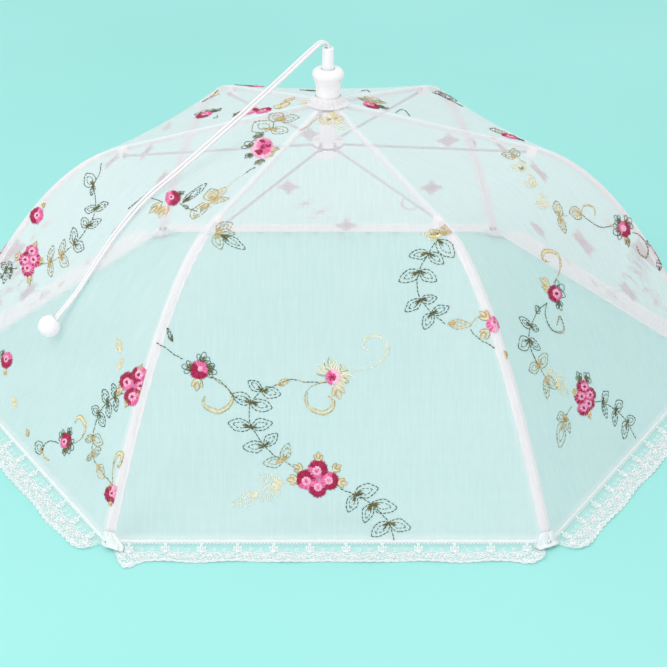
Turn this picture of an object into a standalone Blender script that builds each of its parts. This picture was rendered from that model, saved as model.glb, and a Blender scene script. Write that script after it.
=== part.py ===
"""Folding mesh food cover: a six-sided umbrella of embroidered net on six wire ribs.

The cover stands on its rib tips, with +Z up and the origin on the table under the crown.
Azimuth 0 is rib 1. Lengths are metres.
"""
from math import atan2, ceil, cos, pi, radians, sin, tan

import bmesh
import bpy
from mathutils import Matrix, Vector

MM = 0.001

# Driving dimensions of the cover
RIB_COUNT = 6
HALF_GORE_ANGLE = pi / RIB_COUNT
CORNER_RADIUS = 325.0 * MM
HINGE_RADIUS = 10.0 * MM
HINGE_HEIGHT = 240.4 * MM
KNEE_RADIUS = 171.0 * MM
KNEE_DROP = 38.4 * MM
KNEE_HEIGHT = HINGE_HEIGHT - KNEE_DROP
FOOT_HEIGHT = 5.0 * MM
KNEE_SLOPE = radians(14.0)
FOOT_SLOPE = radians(65.0)
KNEE_REACH = 72.0 * MM
FOOT_REACH = 68.0 * MM
LOWER_STEPS = 10
UPPER_STEPS = 4
SLOPE_STEP_SHARE = 0.01

# Clearances
FIT_GAP = 0.3 * MM
SLIDE_GAP = 0.4 * MM
CUT_OVERRUN = 5.0 * MM
MERGE_DISTANCE = 0.01 * MM
SHARP_ANGLE = radians(35.0)

# Ribs and their small fittings
RIB_WIRE_RADIUS = 1.25 * MM
EYE_RADIUS = 1.9 * MM
EYE_WIDTH = 2.6 * MM
EYE_BORE_RADIUS = 0.95 * MM
EYE_JOIN_SHARE = 1.3
CLIP_LENGTH = 8.0 * MM
CLIP_WIDTH = 5.2 * MM
CLIP_TOP = 2.0 * MM
CLIP_DEPTH = 6.2 * MM
CLIP_EDGE = 0.6 * MM
CLIP_EDGE_STEPS = 2
TIP_RADIUS = 2.0 * MM
TIP_LENGTH = 12.0 * MM
TIP_GRIP = 6.0 * MM

# Struts, which hang from the runner and reach the lugs of the rib clips
STRUT_WIRE_RADIUS = 1.1 * MM
STRUT_EYE_RADIUS = 2.0 * MM
STRUT_EYE_WIDTH = 2.2 * MM
STRUT_EYE_BORE_RADIUS = 1.0 * MM
LUG_DROP = 4.0 * MM
STRUT_SIDE = 4.2 * MM
RUNNER_DROP = 32.9 * MM
RUNNER_HINGE_HEIGHT = HINGE_HEIGHT - RUNNER_DROP

# Cloth, sleeves and lace
CLOTH_THICKNESS = 0.8 * MM
CLOTH_OFFSET = 3.1 * MM
CROWN_CLOTH_OFFSET = 3.9 * MM
CLOTH_INNER_RADIUS = 8.3 * MM
CLOTH_RIB_GAP = 0.4 * MM
CLOTH_SEAM_GAP = 0.15 * MM
HEM_HEIGHT = 1.8 * MM
CLOTH_COLUMNS = 4
SAG_SHARE = 0.02
SLEEVE_HALF_WIDTH = 5.0 * MM
SLEEVE_THICKNESS = 0.8 * MM
SLEEVE_WALL = 0.45 * MM
SLEEVE_START = 16.0 * MM
SLEEVE_BELLY_SHARE = 1.1
LACE_WIDTH = 27.0 * MM
LACE_TUCK = 2.0 * MM
LACE_THICKNESS = 0.8 * MM
LACE_LIFT = 0.3 * MM
LACE_END_GAP = 4.0 * MM
LACE_SCALLOP = 14.0 * MM
LACE_SCALLOP_DEPTH = 2.4 * MM
SCALLOP_POINTS = 3

# Crown and knob, which clamp the cloth between them
CROWN_RADIUS = 12.5 * MM
CROWN_TOP_RADIUS = 12.0 * MM
CROWN_SHOULDER = 8.4 * MM
CROWN_NECK_RADIUS = 7.6 * MM
CROWN_BELOW_HINGE = 12.4 * MM
CROWN_BOTTOM = HINGE_HEIGHT - CROWN_BELOW_HINGE
SPIGOT_RADIUS = 6.6 * MM
SPIGOT_ABOVE_HINGE = 17.6 * MM
SPIGOT_TOP = HINGE_HEIGHT + SPIGOT_ABOVE_HINGE
RING_RADIUS = 0.55 * MM
RING_STEPS = 30
RING_WIRE_STEPS = 6
GROOVE_HALF = 0.95 * MM
SLOT_WIDTH = 3.4 * MM
PATCH_RADIUS = 17.0 * MM
PATCH_THICKNESS = 0.6 * MM
KNOB_NECK_RADIUS = 10.0 * MM
KNOB_RADIUS = 12.9 * MM
KNOB_ABOVE_SPIGOT = 15.0 * MM
KNOB_TOP = SPIGOT_TOP + KNOB_ABOVE_SPIGOT
KNOB_HEAD = 9.4 * MM
KNOB_EDGE = 2.4 * MM

# Plunger stem, which stands in the runner and comes out through the knob
STEM_RADIUS = 4.7 * MM
STEM_BORE_RADIUS = 2.9 * MM
STEM_ABOVE_KNOB = 17.5 * MM
STEM_TOP = KNOB_TOP + STEM_ABOVE_KNOB
STEM_EDGE = 0.4 * MM

# Runner
RUNNER_RADIUS = 12.5 * MM
RUNNER_COLLAR_RADIUS = 7.0 * MM
RUNNER_ABOVE_HINGE = 4.5 * MM
RUNNER_BELOW_HINGE = 9.5 * MM
RUNNER_EDGE = 1.5 * MM
STEM_SEAT_BELOW_HINGE = 4.5 * MM
SEAT_THICKNESS = 1.2 * MM
KNOT_POCKET_RADIUS = 4.4 * MM
KNOT_RADIUS = 3.2 * MM
KNOT_TURN_STEPS = 12
KNOT_RISE_STEPS = 8

# Pull cord: a loop of two strands, and its bead
CORD_RADIUS = 1.2 * MM
CORD_INNER_OFFSET = 1.35 * MM
CORD_SPREAD = 2.4 * MM
CORD_AZIMUTH = radians(211.5)
CORD_STEP_DIAMETERS = 3.5
CORD_SIDES = 8
ROUTE_PIECES = 24
CORD_START_DEPTH = 2.0 * MM
CORD_JOIN_GAP = 0.7 * MM
BEAD_RADIUS = 8.75 * MM
BEAD_BORE_RADIUS = 3.1 * MM
BEAD_BORE_DEPTH = 8.0 * MM
BEAD_TAIL_BORE_RADIUS = 1.55 * MM
BEAD_FLAT_RADIUS = 3.9 * MM
BEAD_STEPS = 8

# Route of the pull cord: outward along its azimuth, sideways from it, height
CORD_ROUTE = (
    (0.0, 0.0, 288.5 * MM),
    (0.0, 0.0, 291.0 * MM),
    (1.5 * MM, 0.0, 294.6 * MM),
    (5.0 * MM, 0.0, 296.0 * MM),
    (8.8 * MM, 0.0, 294.8 * MM),
    (20.0 * MM, 0.0, 287.8 * MM),
    (45.0 * MM, 0.0, 271.4 * MM),
    (75.0 * MM, 0.0, 252.2 * MM),
    (105.0 * MM, 0.0, 233.6 * MM),
    (135.0 * MM, 0.0, 215.4 * MM),
    (152.0 * MM, 0.0, 205.6 * MM),
    (163.5 * MM, 0.0, 198.9 * MM),
    (172.5 * MM, -0.2 * MM, 192.4 * MM),
    (182.5 * MM, -0.6 * MM, 183.4 * MM),
    (196.0 * MM, -1.8 * MM, 169.4 * MM),
    (211.5 * MM, -4.2 * MM, 149.0 * MM),
    (219.5 * MM, -6.2 * MM, 137.2 * MM),
    (229.0 * MM, -9.0 * MM, 123.6 * MM),
    (240.0 * MM, -12.0 * MM, 109.6 * MM),
)

# Centre of the bead, measured like the route
BEAD_CENTRE = (249.5 * MM, -14.0 * MM, 100.4 * MM)

# Point on the axis about which a half gore creases, seen from its rib's hinge
CREASE_POINT_SHARES = (-0.197, -0.0427, 0.8905)

# Fineness of the round pieces
TURN_STEPS = 30
CYLINDER_STEPS = 12
WIRE_RESOLUTION = 2


def rib_azimuth(index):
    return 2.0 * pi * index / RIB_COUNT


def main_collections():
    """Empty the scene and return the collections for parts and for cutters."""
    for item in list(bpy.data.objects):
        bpy.data.objects.remove(item, do_unlink=True)
    parts = bpy.data.collections.new("mesh_food_cover")
    cutters = bpy.data.collections.new("cutters")
    bpy.context.scene.collection.children.link(parts)
    bpy.context.scene.collection.children.link(cutters)
    return parts, cutters


PARTS, CUTTERS = main_collections()


def make_material(name, colour, roughness, metallic=0.0):
    material = bpy.data.materials.new(name)
    material.use_nodes = True
    shader = material.node_tree.nodes["Principled BSDF"]
    shader.inputs["Base Color"].default_value = (*colour, 1.0)
    shader.inputs["Roughness"].default_value = roughness
    shader.inputs["Metallic"].default_value = metallic
    material.diffuse_color = (*colour, 1.0)
    return material


WHITE_PLASTIC = make_material("white_plastic", (0.90, 0.90, 0.92), 0.35)
WHITE_NET = make_material("white_net", (0.86, 0.92, 0.91), 0.80)
WHITE_LACE = make_material("white_lace", (0.93, 0.95, 0.94), 0.85)
SLEEVE_TAPE = make_material("sleeve_tape", (0.92, 0.91, 0.93), 0.75)
ENAMELLED_WIRE = make_material("enamelled_wire", (0.84, 0.85, 0.86), 0.35, 0.3)
STEEL_RING = make_material("steel_ring", (0.62, 0.63, 0.65), 0.30, 1.0)
CORD_WHITE = make_material("cord_white", (0.95, 0.95, 0.96), 0.80)


def place(name, mesh, material, parent=None, location=(0, 0, 0)):
    """Put a finished mesh in the parts collection as one named sub-part."""
    item = bpy.data.objects.new(name, mesh)
    PARTS.objects.link(item)
    item.data.materials.clear()
    item.data.materials.append(material)
    item.parent = parent
    item.location = location
    item.data.shade_smooth()
    item.data.set_sharp_from_angle(angle=SHARP_ANGLE)
    return item


def hinge_empty(name, location, turn=0.0, parent=None):
    """An empty on a joint's axis, which carries the pieces of its body."""
    empty = bpy.data.objects.new(name, None)
    PARTS.objects.link(empty)
    empty.empty_display_size = EYE_RADIUS
    empty.parent = parent
    empty.location = location
    empty.rotation_euler = (0, 0, turn)
    return empty


def scratch_object(name, data):
    item = bpy.data.objects.new(name, data)
    CUTTERS.objects.link(item)
    item.hide_render = True
    item.display_type = "WIRE"
    return item


def evaluated_mesh(item, name):
    """The object's mesh with its modifiers applied; the object itself goes."""
    bpy.context.view_layer.update()
    depsgraph = bpy.context.evaluated_depsgraph_get()
    mesh = bpy.data.meshes.new_from_object(item.evaluated_get(depsgraph))
    mesh.name = name
    mesh.transform(item.matrix_world)
    bpy.data.objects.remove(item, do_unlink=True)
    return mesh


def welded(mesh):
    work = bmesh.new()
    work.from_mesh(mesh)
    bmesh.ops.remove_doubles(work, verts=work.verts, dist=MERGE_DISTANCE)
    bmesh.ops.recalc_face_normals(work, faces=work.faces)
    work.to_mesh(mesh)
    work.free()
    return mesh


def combine(base, others, operation, name):
    """Boolean of a base mesh with the meshes in others, one after another."""
    item = scratch_object(name, base)
    tools = []
    for index, other in enumerate(others):
        tool = scratch_object(f"{name}_tool_{index}", other)
        change = item.modifiers.new(f"{operation.lower()}_{index}", "BOOLEAN")
        change.operation = operation
        change.object = tool
        tools.append(tool)
    result = evaluated_mesh(item, name)
    for tool in tools:
        bpy.data.objects.remove(tool, do_unlink=True)
    return result


def wire_mesh(name, points, radius):
    """A round wire along a list of points, with closed ends."""
    curve = bpy.data.curves.new(name, "CURVE")
    curve.dimensions = "3D"
    curve.bevel_depth = radius
    curve.bevel_resolution = WIRE_RESOLUTION
    curve.use_fill_caps = True
    spline = curve.splines.new("POLY")
    spline.points.add(len(points) - 1)
    for point, place_of in zip(spline.points, points):
        point.co = (*place_of, 1.0)
    return welded(evaluated_mesh(scratch_object(name, curve), name))


def cylinder_mesh(name, radius, length, start, direction, segments=CYLINDER_STEPS):
    """A cylinder that starts at a point and runs along a direction."""
    work = bmesh.new()
    bmesh.ops.create_cone(
        work, cap_ends=True, segments=segments, radius1=radius, radius2=radius, depth=length
    )
    turn = Vector((0, 0, 1)).rotation_difference(Vector(direction)).to_matrix().to_4x4()
    middle = Vector(start) + Vector(direction).normalized() * length / 2
    bmesh.ops.transform(work, matrix=Matrix.Translation(middle) @ turn, verts=work.verts)
    mesh = bpy.data.meshes.new(name)
    work.to_mesh(mesh)
    work.free()
    return mesh


def box_mesh(name, low, high):
    """A box between two corners."""
    work = bmesh.new()
    bmesh.ops.create_cube(work, size=1.0)
    size = [b - a for a, b in zip(low, high)]
    middle = [(a + b) / 2 for a, b in zip(low, high)]
    bmesh.ops.scale(work, vec=size, verts=work.verts)
    bmesh.ops.translate(work, vec=middle, verts=work.verts)
    mesh = bpy.data.meshes.new(name)
    work.to_mesh(mesh)
    work.free()
    return mesh


def turned_mesh(name, profile):
    """A ring turned about Z from a closed profile of radius and height."""
    mesh = bpy.data.meshes.new(name)
    count = len(profile)
    corners = [(radius, 0, height) for radius, height in profile]
    mesh.from_pydata(corners, [(i, (i + 1) % count) for i in range(count)], [])
    item = scratch_object(name, mesh)
    screw = item.modifiers.new("turn", "SCREW")
    screw.steps = TURN_STEPS
    screw.render_steps = TURN_STEPS
    screw.use_merge_vertices = True
    screw.merge_threshold = MERGE_DISTANCE
    return evaluated_mesh(item, name)


def ring_mesh(name, radius, wire_radius, height):
    bpy.ops.mesh.primitive_torus_add(
        major_radius=radius,
        minor_radius=wire_radius,
        major_segments=RING_STEPS,
        minor_segments=RING_WIRE_STEPS,
        location=(0, 0, height),
    )
    item = bpy.context.object
    return evaluated_mesh(item, name)


def slotted(mesh, name, inner_radius, low, high):
    """Cut one radial slot for each rib or strut."""
    reach = CROWN_RADIUS + CUT_OVERRUN
    cutters = []
    for index in range(RIB_COUNT):
        cutter = box_mesh(
            f"{name}_slot_{index}",
            (inner_radius, -SLOT_WIDTH / 2, low),
            (reach, SLOT_WIDTH / 2, high),
        )
        cutter.transform(Matrix.Rotation(rib_azimuth(index), 4, "Z"))
        cutters.append(cutter)
    return combine(mesh, cutters, "DIFFERENCE", name)


# The rib's line and the cloth over it

UPPER_SLOPE = atan2(HINGE_HEIGHT - KNEE_HEIGHT, KNEE_RADIUS - HINGE_RADIUS)


def lower_rib_point(share):
    """Point on the curved lower rib: 0 at the knee, 1 at the foot."""
    knee = Vector((KNEE_RADIUS, KNEE_HEIGHT))
    foot = Vector((CORNER_RADIUS, FOOT_HEIGHT))
    after_knee = knee + KNEE_REACH * Vector((cos(KNEE_SLOPE), -sin(KNEE_SLOPE)))
    before_foot = foot - FOOT_REACH * Vector((cos(FOOT_SLOPE), -sin(FOOT_SLOPE)))
    rest = 1.0 - share
    return (
        rest**3 * knee
        + 3 * rest**2 * share * after_knee
        + 3 * rest * share**2 * before_foot
        + share**3 * foot
    )


def lower_rib_slope(share):
    """Angle of the lower rib below the horizontal."""
    before = lower_rib_point(max(share - SLOPE_STEP_SHARE, 0.0))
    after = lower_rib_point(min(share + SLOPE_STEP_SHARE, 1.0))
    return atan2(before.y - after.y, after.x - before.x)


def rib_station(share):
    """Centre and slope at a share of the lower rib, read along the straight runs of its wire."""
    run = min(int(share * LOWER_STEPS), LOWER_STEPS - 1)
    part = share * LOWER_STEPS - run
    before = run / LOWER_STEPS
    after = (run + 1) / LOWER_STEPS
    centre = lower_rib_point(before).lerp(lower_rib_point(after), part)
    slope = lower_rib_slope(before) * (1 - part) + lower_rib_slope(after) * part
    return centre, slope


def rib_share_at(distance, from_foot=False):
    """Share of the lower rib that a short distance from one end takes up."""
    run = 1 / LOWER_STEPS
    if from_foot:
        length = (lower_rib_point(1.0) - lower_rib_point(1.0 - run)).length
    else:
        length = (lower_rib_point(run) - lower_rib_point(0.0)).length
    return distance / length * run


def outward(point, slope, distance):
    """The point moved off the rib's line, square to it and away from the dome's inside."""
    return Vector((point.x + distance * sin(slope), point.y + distance * cos(slope)))


def cloth_line():
    """Middle of the cloth above a rib, from the crown to the hem: radius and height."""
    line = []
    knee = Vector((KNEE_RADIUS, KNEE_HEIGHT))
    hinge = Vector((HINGE_RADIUS, HINGE_HEIGHT))
    start = outward(hinge, UPPER_SLOPE, CROWN_CLOTH_OFFSET)
    end = outward(knee, UPPER_SLOPE, CLOTH_OFFSET)
    inner = start + (end - start) * (CLOTH_INNER_RADIUS - start.x) / (end.x - start.x)
    for step in range(UPPER_STEPS):
        line.append(inner + (end - inner) * step / UPPER_STEPS)
    for step in range(LOWER_STEPS + 1):
        share = step / LOWER_STEPS
        line.append(outward(lower_rib_point(share), lower_rib_slope(share), CLOTH_OFFSET))
    last = line[-1]
    drop = last.y - HEM_HEIGHT
    line.append(last + drop * Vector((1 / tan(FOOT_SLOPE), -1.0)))
    return line


def crown_cloth_height(radius):
    """Middle of the cloth above a rib close to the crown."""
    start = outward(Vector((HINGE_RADIUS, HINGE_HEIGHT)), UPPER_SLOPE, CROWN_CLOTH_OFFSET)
    end = outward(Vector((KNEE_RADIUS, KNEE_HEIGHT)), UPPER_SLOPE, CLOTH_OFFSET)
    return start.y + (end.y - start.y) * (radius - start.x) / (end.x - start.x)


def across_gap(thickness):
    """Height that a layer square to the crown's slope takes up."""
    return thickness / cos(UPPER_SLOPE)


def in_rib_frame(radius, side, height):
    """A point of the cover, seen from the rib's hinge."""
    return (radius - HINGE_RADIUS, side, height - HINGE_HEIGHT)


def half_gore_mesh(name, side):
    """Net from one rib to the middle of the gore beside it, on the side +1 or -1."""
    line = cloth_line()
    rows = len(line)
    lengths = [0.0]
    for before, after in zip(line, line[1:]):
        lengths.append(lengths[-1] + (after - before).length)
    corners = []
    for row, point in enumerate(line):
        near = line[max(row - 1, 0)]
        far = line[min(row + 1, rows - 1)]
        gore_slope = atan2(near.y - far.y, (far.x - near.x) * cos(HALF_GORE_ANGLE))
        depth = SAG_SHARE * point.x * sin(pi * lengths[row] / lengths[-1])
        seam_radius = point.x * cos(HALF_GORE_ANGLE)
        seam = Vector((cos(HALF_GORE_ANGLE), sin(HALF_GORE_ANGLE)))
        across = Vector((-sin(HALF_GORE_ANGLE), cos(HALF_GORE_ANGLE)))
        middle = seam * seam_radius - across * CLOTH_SEAM_GAP
        edge = Vector((point.x - CLOTH_RIB_GAP * tan(HALF_GORE_ANGLE), CLOTH_RIB_GAP))
        for column in range(CLOTH_COLUMNS + 1):
            share = column / CLOTH_COLUMNS
            flat = edge.lerp(middle, share)
            dip = depth * share * (2.0 - share)
            flat = flat - seam * dip * sin(gore_slope)
            height = point.y - dip * cos(gore_slope)
            corners.append(in_rib_frame(flat.x, side * flat.y, height))
    faces = []
    width = CLOTH_COLUMNS + 1
    for row in range(rows - 1):
        for column in range(CLOTH_COLUMNS):
            a = row * width + column
            face = (a, a + width, a + width + 1, a + 1)
            faces.append(face if side > 0 else face[::-1])
    mesh = bpy.data.meshes.new(name)
    mesh.from_pydata(corners, [], faces)
    item = scratch_object(name, mesh)
    solid = item.modifiers.new("thickness", "SOLIDIFY")
    solid.thickness = CLOTH_THICKNESS
    solid.offset = 0.0
    return evaluated_mesh(item, name)


def sleeve_mesh(name):
    """Flat tape tube round the lower rib, roofed to fit under the seam of two gores."""
    first = rib_share_at(SLEEVE_START)
    last = 1.0 - rib_share_at(TIP_GRIP + FIT_GAP + 2 * SLEEVE_WALL, from_foot=True)
    rows = [row / LOWER_STEPS for row in range(LOWER_STEPS + 1)]
    shares = [first, *(row for row in rows if first < row < last), last]
    sag_lean = 2 * SAG_SHARE / (sin(HALF_GORE_ANGLE) * cos(HALF_GORE_ANGLE))
    bore = RIB_WIRE_RADIUS + FIT_GAP
    belly = bore + SLEEVE_WALL
    roof = CLOTH_OFFSET - CLOTH_THICKNESS / 2 - FIT_GAP
    corners = []
    for share in shares:
        centre, slope = rib_station(share)
        lean = tan(HALF_GORE_ANGLE) * sin(slope) + sag_lean
        edge = roof - SLEEVE_HALF_WIDTH * lean
        outer = (
            (0, roof),
            (SLEEVE_HALF_WIDTH, edge),
            (SLEEVE_HALF_WIDTH, edge - SLEEVE_THICKNESS),
            (belly, -belly * cos(HALF_GORE_ANGLE)),
            (0, -belly * SLEEVE_BELLY_SHARE),
            (-belly, -belly * cos(HALF_GORE_ANGLE)),
            (-SLEEVE_HALF_WIDTH, edge - SLEEVE_THICKNESS),
            (-SLEEVE_HALF_WIDTH, edge),
        )
        inner = [
            (bore * sin(2 * pi * i / len(outer)), bore * cos(2 * pi * i / len(outer)))
            for i in range(len(outer))
        ]
        for side, lift in (*outer, *inner):
            spot = outward(centre, slope, lift)
            corners.append(in_rib_frame(spot.x, side, spot.y))
    count = len(outer)
    ring = 2 * count
    faces = []
    for step in range(len(shares) - 1):
        for i in range(count):
            j = (i + 1) % count
            a = step * ring
            b = a + ring
            faces.append((a + i, a + j, b + j, b + i))
            faces.append((a + count + i, b + count + i, b + count + j, a + count + j))
    for i in range(count):
        j = (i + 1) % count
        end = (len(shares) - 1) * ring
        faces.append((i, count + i, count + j, j))
        faces.append((end + i, end + j, end + count + j, end + count + i))
    mesh = bpy.data.meshes.new(name)
    mesh.from_pydata(corners, [], faces)
    return welded(mesh)


def rib_mesh(name):
    """Spring wire from the eye on the crown ring down to the foot."""
    eye = cylinder_mesh(
        f"{name}_eye", EYE_RADIUS, EYE_WIDTH, (0, -EYE_WIDTH / 2, 0), (0, 1, 0)
    )
    direction = Vector((cos(UPPER_SLOPE), -sin(UPPER_SLOPE)))
    start = Vector((HINGE_RADIUS, HINGE_HEIGHT)) + direction * EYE_BORE_RADIUS * EYE_JOIN_SHARE
    points = [in_rib_frame(start.x, 0, start.y)]
    for step in range(LOWER_STEPS + 1):
        spot = lower_rib_point(step / LOWER_STEPS)
        points.append(in_rib_frame(spot.x, 0, spot.y))
    wire = wire_mesh(f"{name}_wire", points, RIB_WIRE_RADIUS)
    body = combine(wire, [eye], "UNION", f"{name}_joined")
    bore = cylinder_mesh(
        f"{name}_bore",
        EYE_BORE_RADIUS,
        EYE_WIDTH + CUT_OVERRUN,
        (0, -(EYE_WIDTH + CUT_OVERRUN) / 2, 0),
        (0, 1, 0),
    )
    return combine(body, [bore], "DIFFERENCE", name)


def clip_centre():
    """Middle of the clip, which ends where the rib's curve starts: radius and height."""
    back = CLIP_LENGTH / 2
    return Vector((KNEE_RADIUS - back * cos(UPPER_SLOPE), KNEE_HEIGHT + back * sin(UPPER_SLOPE)))


def clip_mesh(name):
    """Moulded clip round the rib at the knee, with a lug that hangs below the wire."""
    work = box_mesh(
        f"{name}_block",
        (-CLIP_LENGTH / 2, -CLIP_WIDTH / 2, -CLIP_DEPTH),
        (CLIP_LENGTH / 2, CLIP_WIDTH / 2, CLIP_TOP),
    )
    item = scratch_object(f"{name}_rounded", work)
    edge = item.modifiers.new("edge", "BEVEL")
    edge.width = CLIP_EDGE
    edge.segments = CLIP_EDGE_STEPS
    block = evaluated_mesh(item, f"{name}_rounded")
    bore = cylinder_mesh(
        f"{name}_bore",
        RIB_WIRE_RADIUS + FIT_GAP,
        CLIP_LENGTH + CUT_OVERRUN,
        (-(CLIP_LENGTH + CUT_OVERRUN) / 2, 0, 0),
        (1, 0, 0),
    )
    block = combine(block, [bore], "DIFFERENCE", name)
    centre = clip_centre()
    spot = in_rib_frame(centre.x, 0, centre.y)
    block.transform(Matrix.Translation(spot) @ Matrix.Rotation(UPPER_SLOPE, 4, "Y"))
    return block


def tip_mesh(name):
    """Moulded tip on the foot of a rib, cut flat where it stands on the table."""
    along = Vector((cos(FOOT_SLOPE), 0, -sin(FOOT_SLOPE)))
    foot = Vector((CORNER_RADIUS, 0, FOOT_HEIGHT))
    cap = cylinder_mesh(
        f"{name}_cap", TIP_RADIUS, TIP_LENGTH + CUT_OVERRUN, foot - along * TIP_GRIP, along
    )
    socket = cylinder_mesh(
        f"{name}_socket",
        RIB_WIRE_RADIUS + FIT_GAP,
        TIP_GRIP + CUT_OVERRUN + FIT_GAP,
        foot - along * (TIP_GRIP + CUT_OVERRUN),
        along,
    )
    reach = TIP_LENGTH + CUT_OVERRUN
    table = box_mesh(
        f"{name}_table",
        (foot.x - reach, -reach, -reach),
        (foot.x + reach, reach, 0),
    )
    tip = combine(cap, [socket, table], "DIFFERENCE", name)
    tip.transform(Matrix.Translation((-HINGE_RADIUS, 0, -HINGE_HEIGHT)))
    return tip


def lug_point():
    """Where a strut's outer eye lies beside the clip's lug: radius and height."""
    return outward(clip_centre(), UPPER_SLOPE, -LUG_DROP)


def strut_mesh(name):
    """Straight wire from the runner ring to the side of the rib clip's lug."""
    lug = lug_point()
    end = Vector((lug.x - HINGE_RADIUS, STRUT_SIDE, lug.y - RUNNER_HINGE_HEIGHT))
    direction = end.normalized()
    start = direction * EYE_BORE_RADIUS * EYE_JOIN_SHARE
    stop = end - direction * STRUT_EYE_BORE_RADIUS * EYE_JOIN_SHARE
    wire = wire_mesh(f"{name}_wire", [start, stop], STRUT_WIRE_RADIUS)
    inner_eye = cylinder_mesh(
        f"{name}_inner_eye", EYE_RADIUS, EYE_WIDTH, (0, -EYE_WIDTH / 2, 0), (0, 1, 0)
    )
    outer_eye = cylinder_mesh(
        f"{name}_outer_eye",
        STRUT_EYE_RADIUS,
        STRUT_EYE_WIDTH,
        (end.x, end.y - STRUT_EYE_WIDTH / 2, end.z),
        (0, 1, 0),
    )
    body = combine(wire, [inner_eye, outer_eye], "UNION", f"{name}_joined")
    bores = [
        cylinder_mesh(
            f"{name}_bore_{index}",
            radius,
            EYE_WIDTH + CUT_OVERRUN,
            (spot.x, spot.y - (EYE_WIDTH + CUT_OVERRUN) / 2, spot.z),
            (0, 1, 0),
        )
        for index, (radius, spot) in enumerate(
            ((EYE_BORE_RADIUS, Vector((0, 0, 0))), (STRUT_EYE_BORE_RADIUS, end))
        )
    ]
    return combine(body, bores, "DIFFERENCE", name)


def lace_mesh(name):
    """Scalloped strip that lies outward from the hem of one gore, seen along azimuth 0."""
    hem_radius = cloth_line()[-1].x
    inner = hem_radius * cos(HALF_GORE_ANGLE) - LACE_TUCK
    outer = inner + LACE_TUCK + LACE_WIDTH
    half = hem_radius * sin(HALF_GORE_ANGLE) - LACE_END_GAP
    count = max(2, round(2 * half / LACE_SCALLOP))
    outline = [(inner, -half)]
    for step in range(count * SCALLOP_POINTS + 1):
        share = step / (count * SCALLOP_POINTS)
        bulge = abs(sin(pi * share * count))
        outline.append((outer - LACE_SCALLOP_DEPTH * (1.0 - bulge), half * (2 * share - 1)))
    outline.append((inner, half))
    curve = bpy.data.curves.new(name, "CURVE")
    curve.dimensions = "2D"
    curve.fill_mode = "BOTH"
    curve.extrude = LACE_THICKNESS / 2
    spline = curve.splines.new("POLY")
    spline.points.add(len(outline) - 1)
    spline.use_cyclic_u = True
    for point, (x, y) in zip(spline.points, outline):
        point.co = (x, y, 0, 1)
    strip = welded(evaluated_mesh(scratch_object(name, curve), name))
    strip.transform(Matrix.Translation((0, 0, LACE_LIFT + LACE_THICKNESS / 2)))
    return strip


# Hub pieces on the axis


def crown_top_height(radius):
    """Cone on which the cloth's inner edge lies, clear of the gores between the ribs."""
    flat_loss = CROWN_TOP_RADIUS * tan(UPPER_SLOPE) * (1 / cos(HALF_GORE_ANGLE) - 1)
    lower_face = across_gap(CLOTH_THICKNESS / 2) + FIT_GAP
    return crown_cloth_height(radius) - lower_face - flat_loss


def patch_bottom_height(radius):
    return crown_cloth_height(radius) + across_gap(CLOTH_THICKNESS / 2) + FIT_GAP


def knob_bottom_height(radius):
    return patch_bottom_height(radius) + across_gap(PATCH_THICKNESS) + FIT_GAP


def build_hub():
    bore = STEM_RADIUS + SLIDE_GAP
    groove_bottom = HINGE_RADIUS - RING_RADIUS - RING_RADIUS
    low = HINGE_HEIGHT - GROOVE_HALF
    high = HINGE_HEIGHT + GROOVE_HALF
    crown = turned_mesh(
        "crown_turned",
        (
            (SPIGOT_RADIUS, SPIGOT_TOP),
            (SPIGOT_RADIUS, crown_top_height(SPIGOT_RADIUS)),
            (CROWN_TOP_RADIUS, crown_top_height(CROWN_TOP_RADIUS)),
            (CROWN_TOP_RADIUS, high),
            (groove_bottom, high),
            (groove_bottom, low),
            (CROWN_RADIUS, low),
            (CROWN_RADIUS, HINGE_HEIGHT - CROWN_SHOULDER),
            (RUNNER_COLLAR_RADIUS, CROWN_BOTTOM),
            (bore, CROWN_BOTTOM),
            (bore, SPIGOT_TOP),
        ),
    )
    crown = slotted(crown, "crown", CROWN_NECK_RADIUS, CROWN_BOTTOM, SPIGOT_TOP)
    place("crown", crown, WHITE_PLASTIC)
    place(
        "crown_ring",
        ring_mesh("crown_ring", HINGE_RADIUS, RING_RADIUS, HINGE_HEIGHT),
        STEEL_RING,
    )
    hole = SPIGOT_RADIUS + SLIDE_GAP
    patch = turned_mesh(
        "top_patch",
        (
            (PATCH_RADIUS, patch_bottom_height(PATCH_RADIUS) + across_gap(PATCH_THICKNESS)),
            (PATCH_RADIUS, patch_bottom_height(PATCH_RADIUS)),
            (hole, patch_bottom_height(hole)),
            (hole, patch_bottom_height(hole) + across_gap(PATCH_THICKNESS)),
        ),
    )
    place("top_patch", patch, WHITE_NET)
    head_bottom = KNOB_TOP - KNOB_HEAD
    knob = turned_mesh(
        "knob",
        (
            (KNOB_RADIUS - KNOB_EDGE, KNOB_TOP),
            (KNOB_RADIUS - KNOB_EDGE / 4, KNOB_TOP - KNOB_EDGE / 4),
            (KNOB_RADIUS, KNOB_TOP - KNOB_EDGE),
            (KNOB_RADIUS, head_bottom + KNOB_EDGE),
            (KNOB_RADIUS - KNOB_EDGE / 4, head_bottom + KNOB_EDGE / 4),
            (KNOB_NECK_RADIUS, head_bottom),
            (KNOB_NECK_RADIUS, knob_bottom_height(KNOB_NECK_RADIUS)),
            (hole, knob_bottom_height(hole)),
            (hole, SPIGOT_TOP + FIT_GAP),
            (bore, SPIGOT_TOP + FIT_GAP),
            (bore, KNOB_TOP),
        ),
    )
    place("knob", knob, WHITE_PLASTIC)


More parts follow.
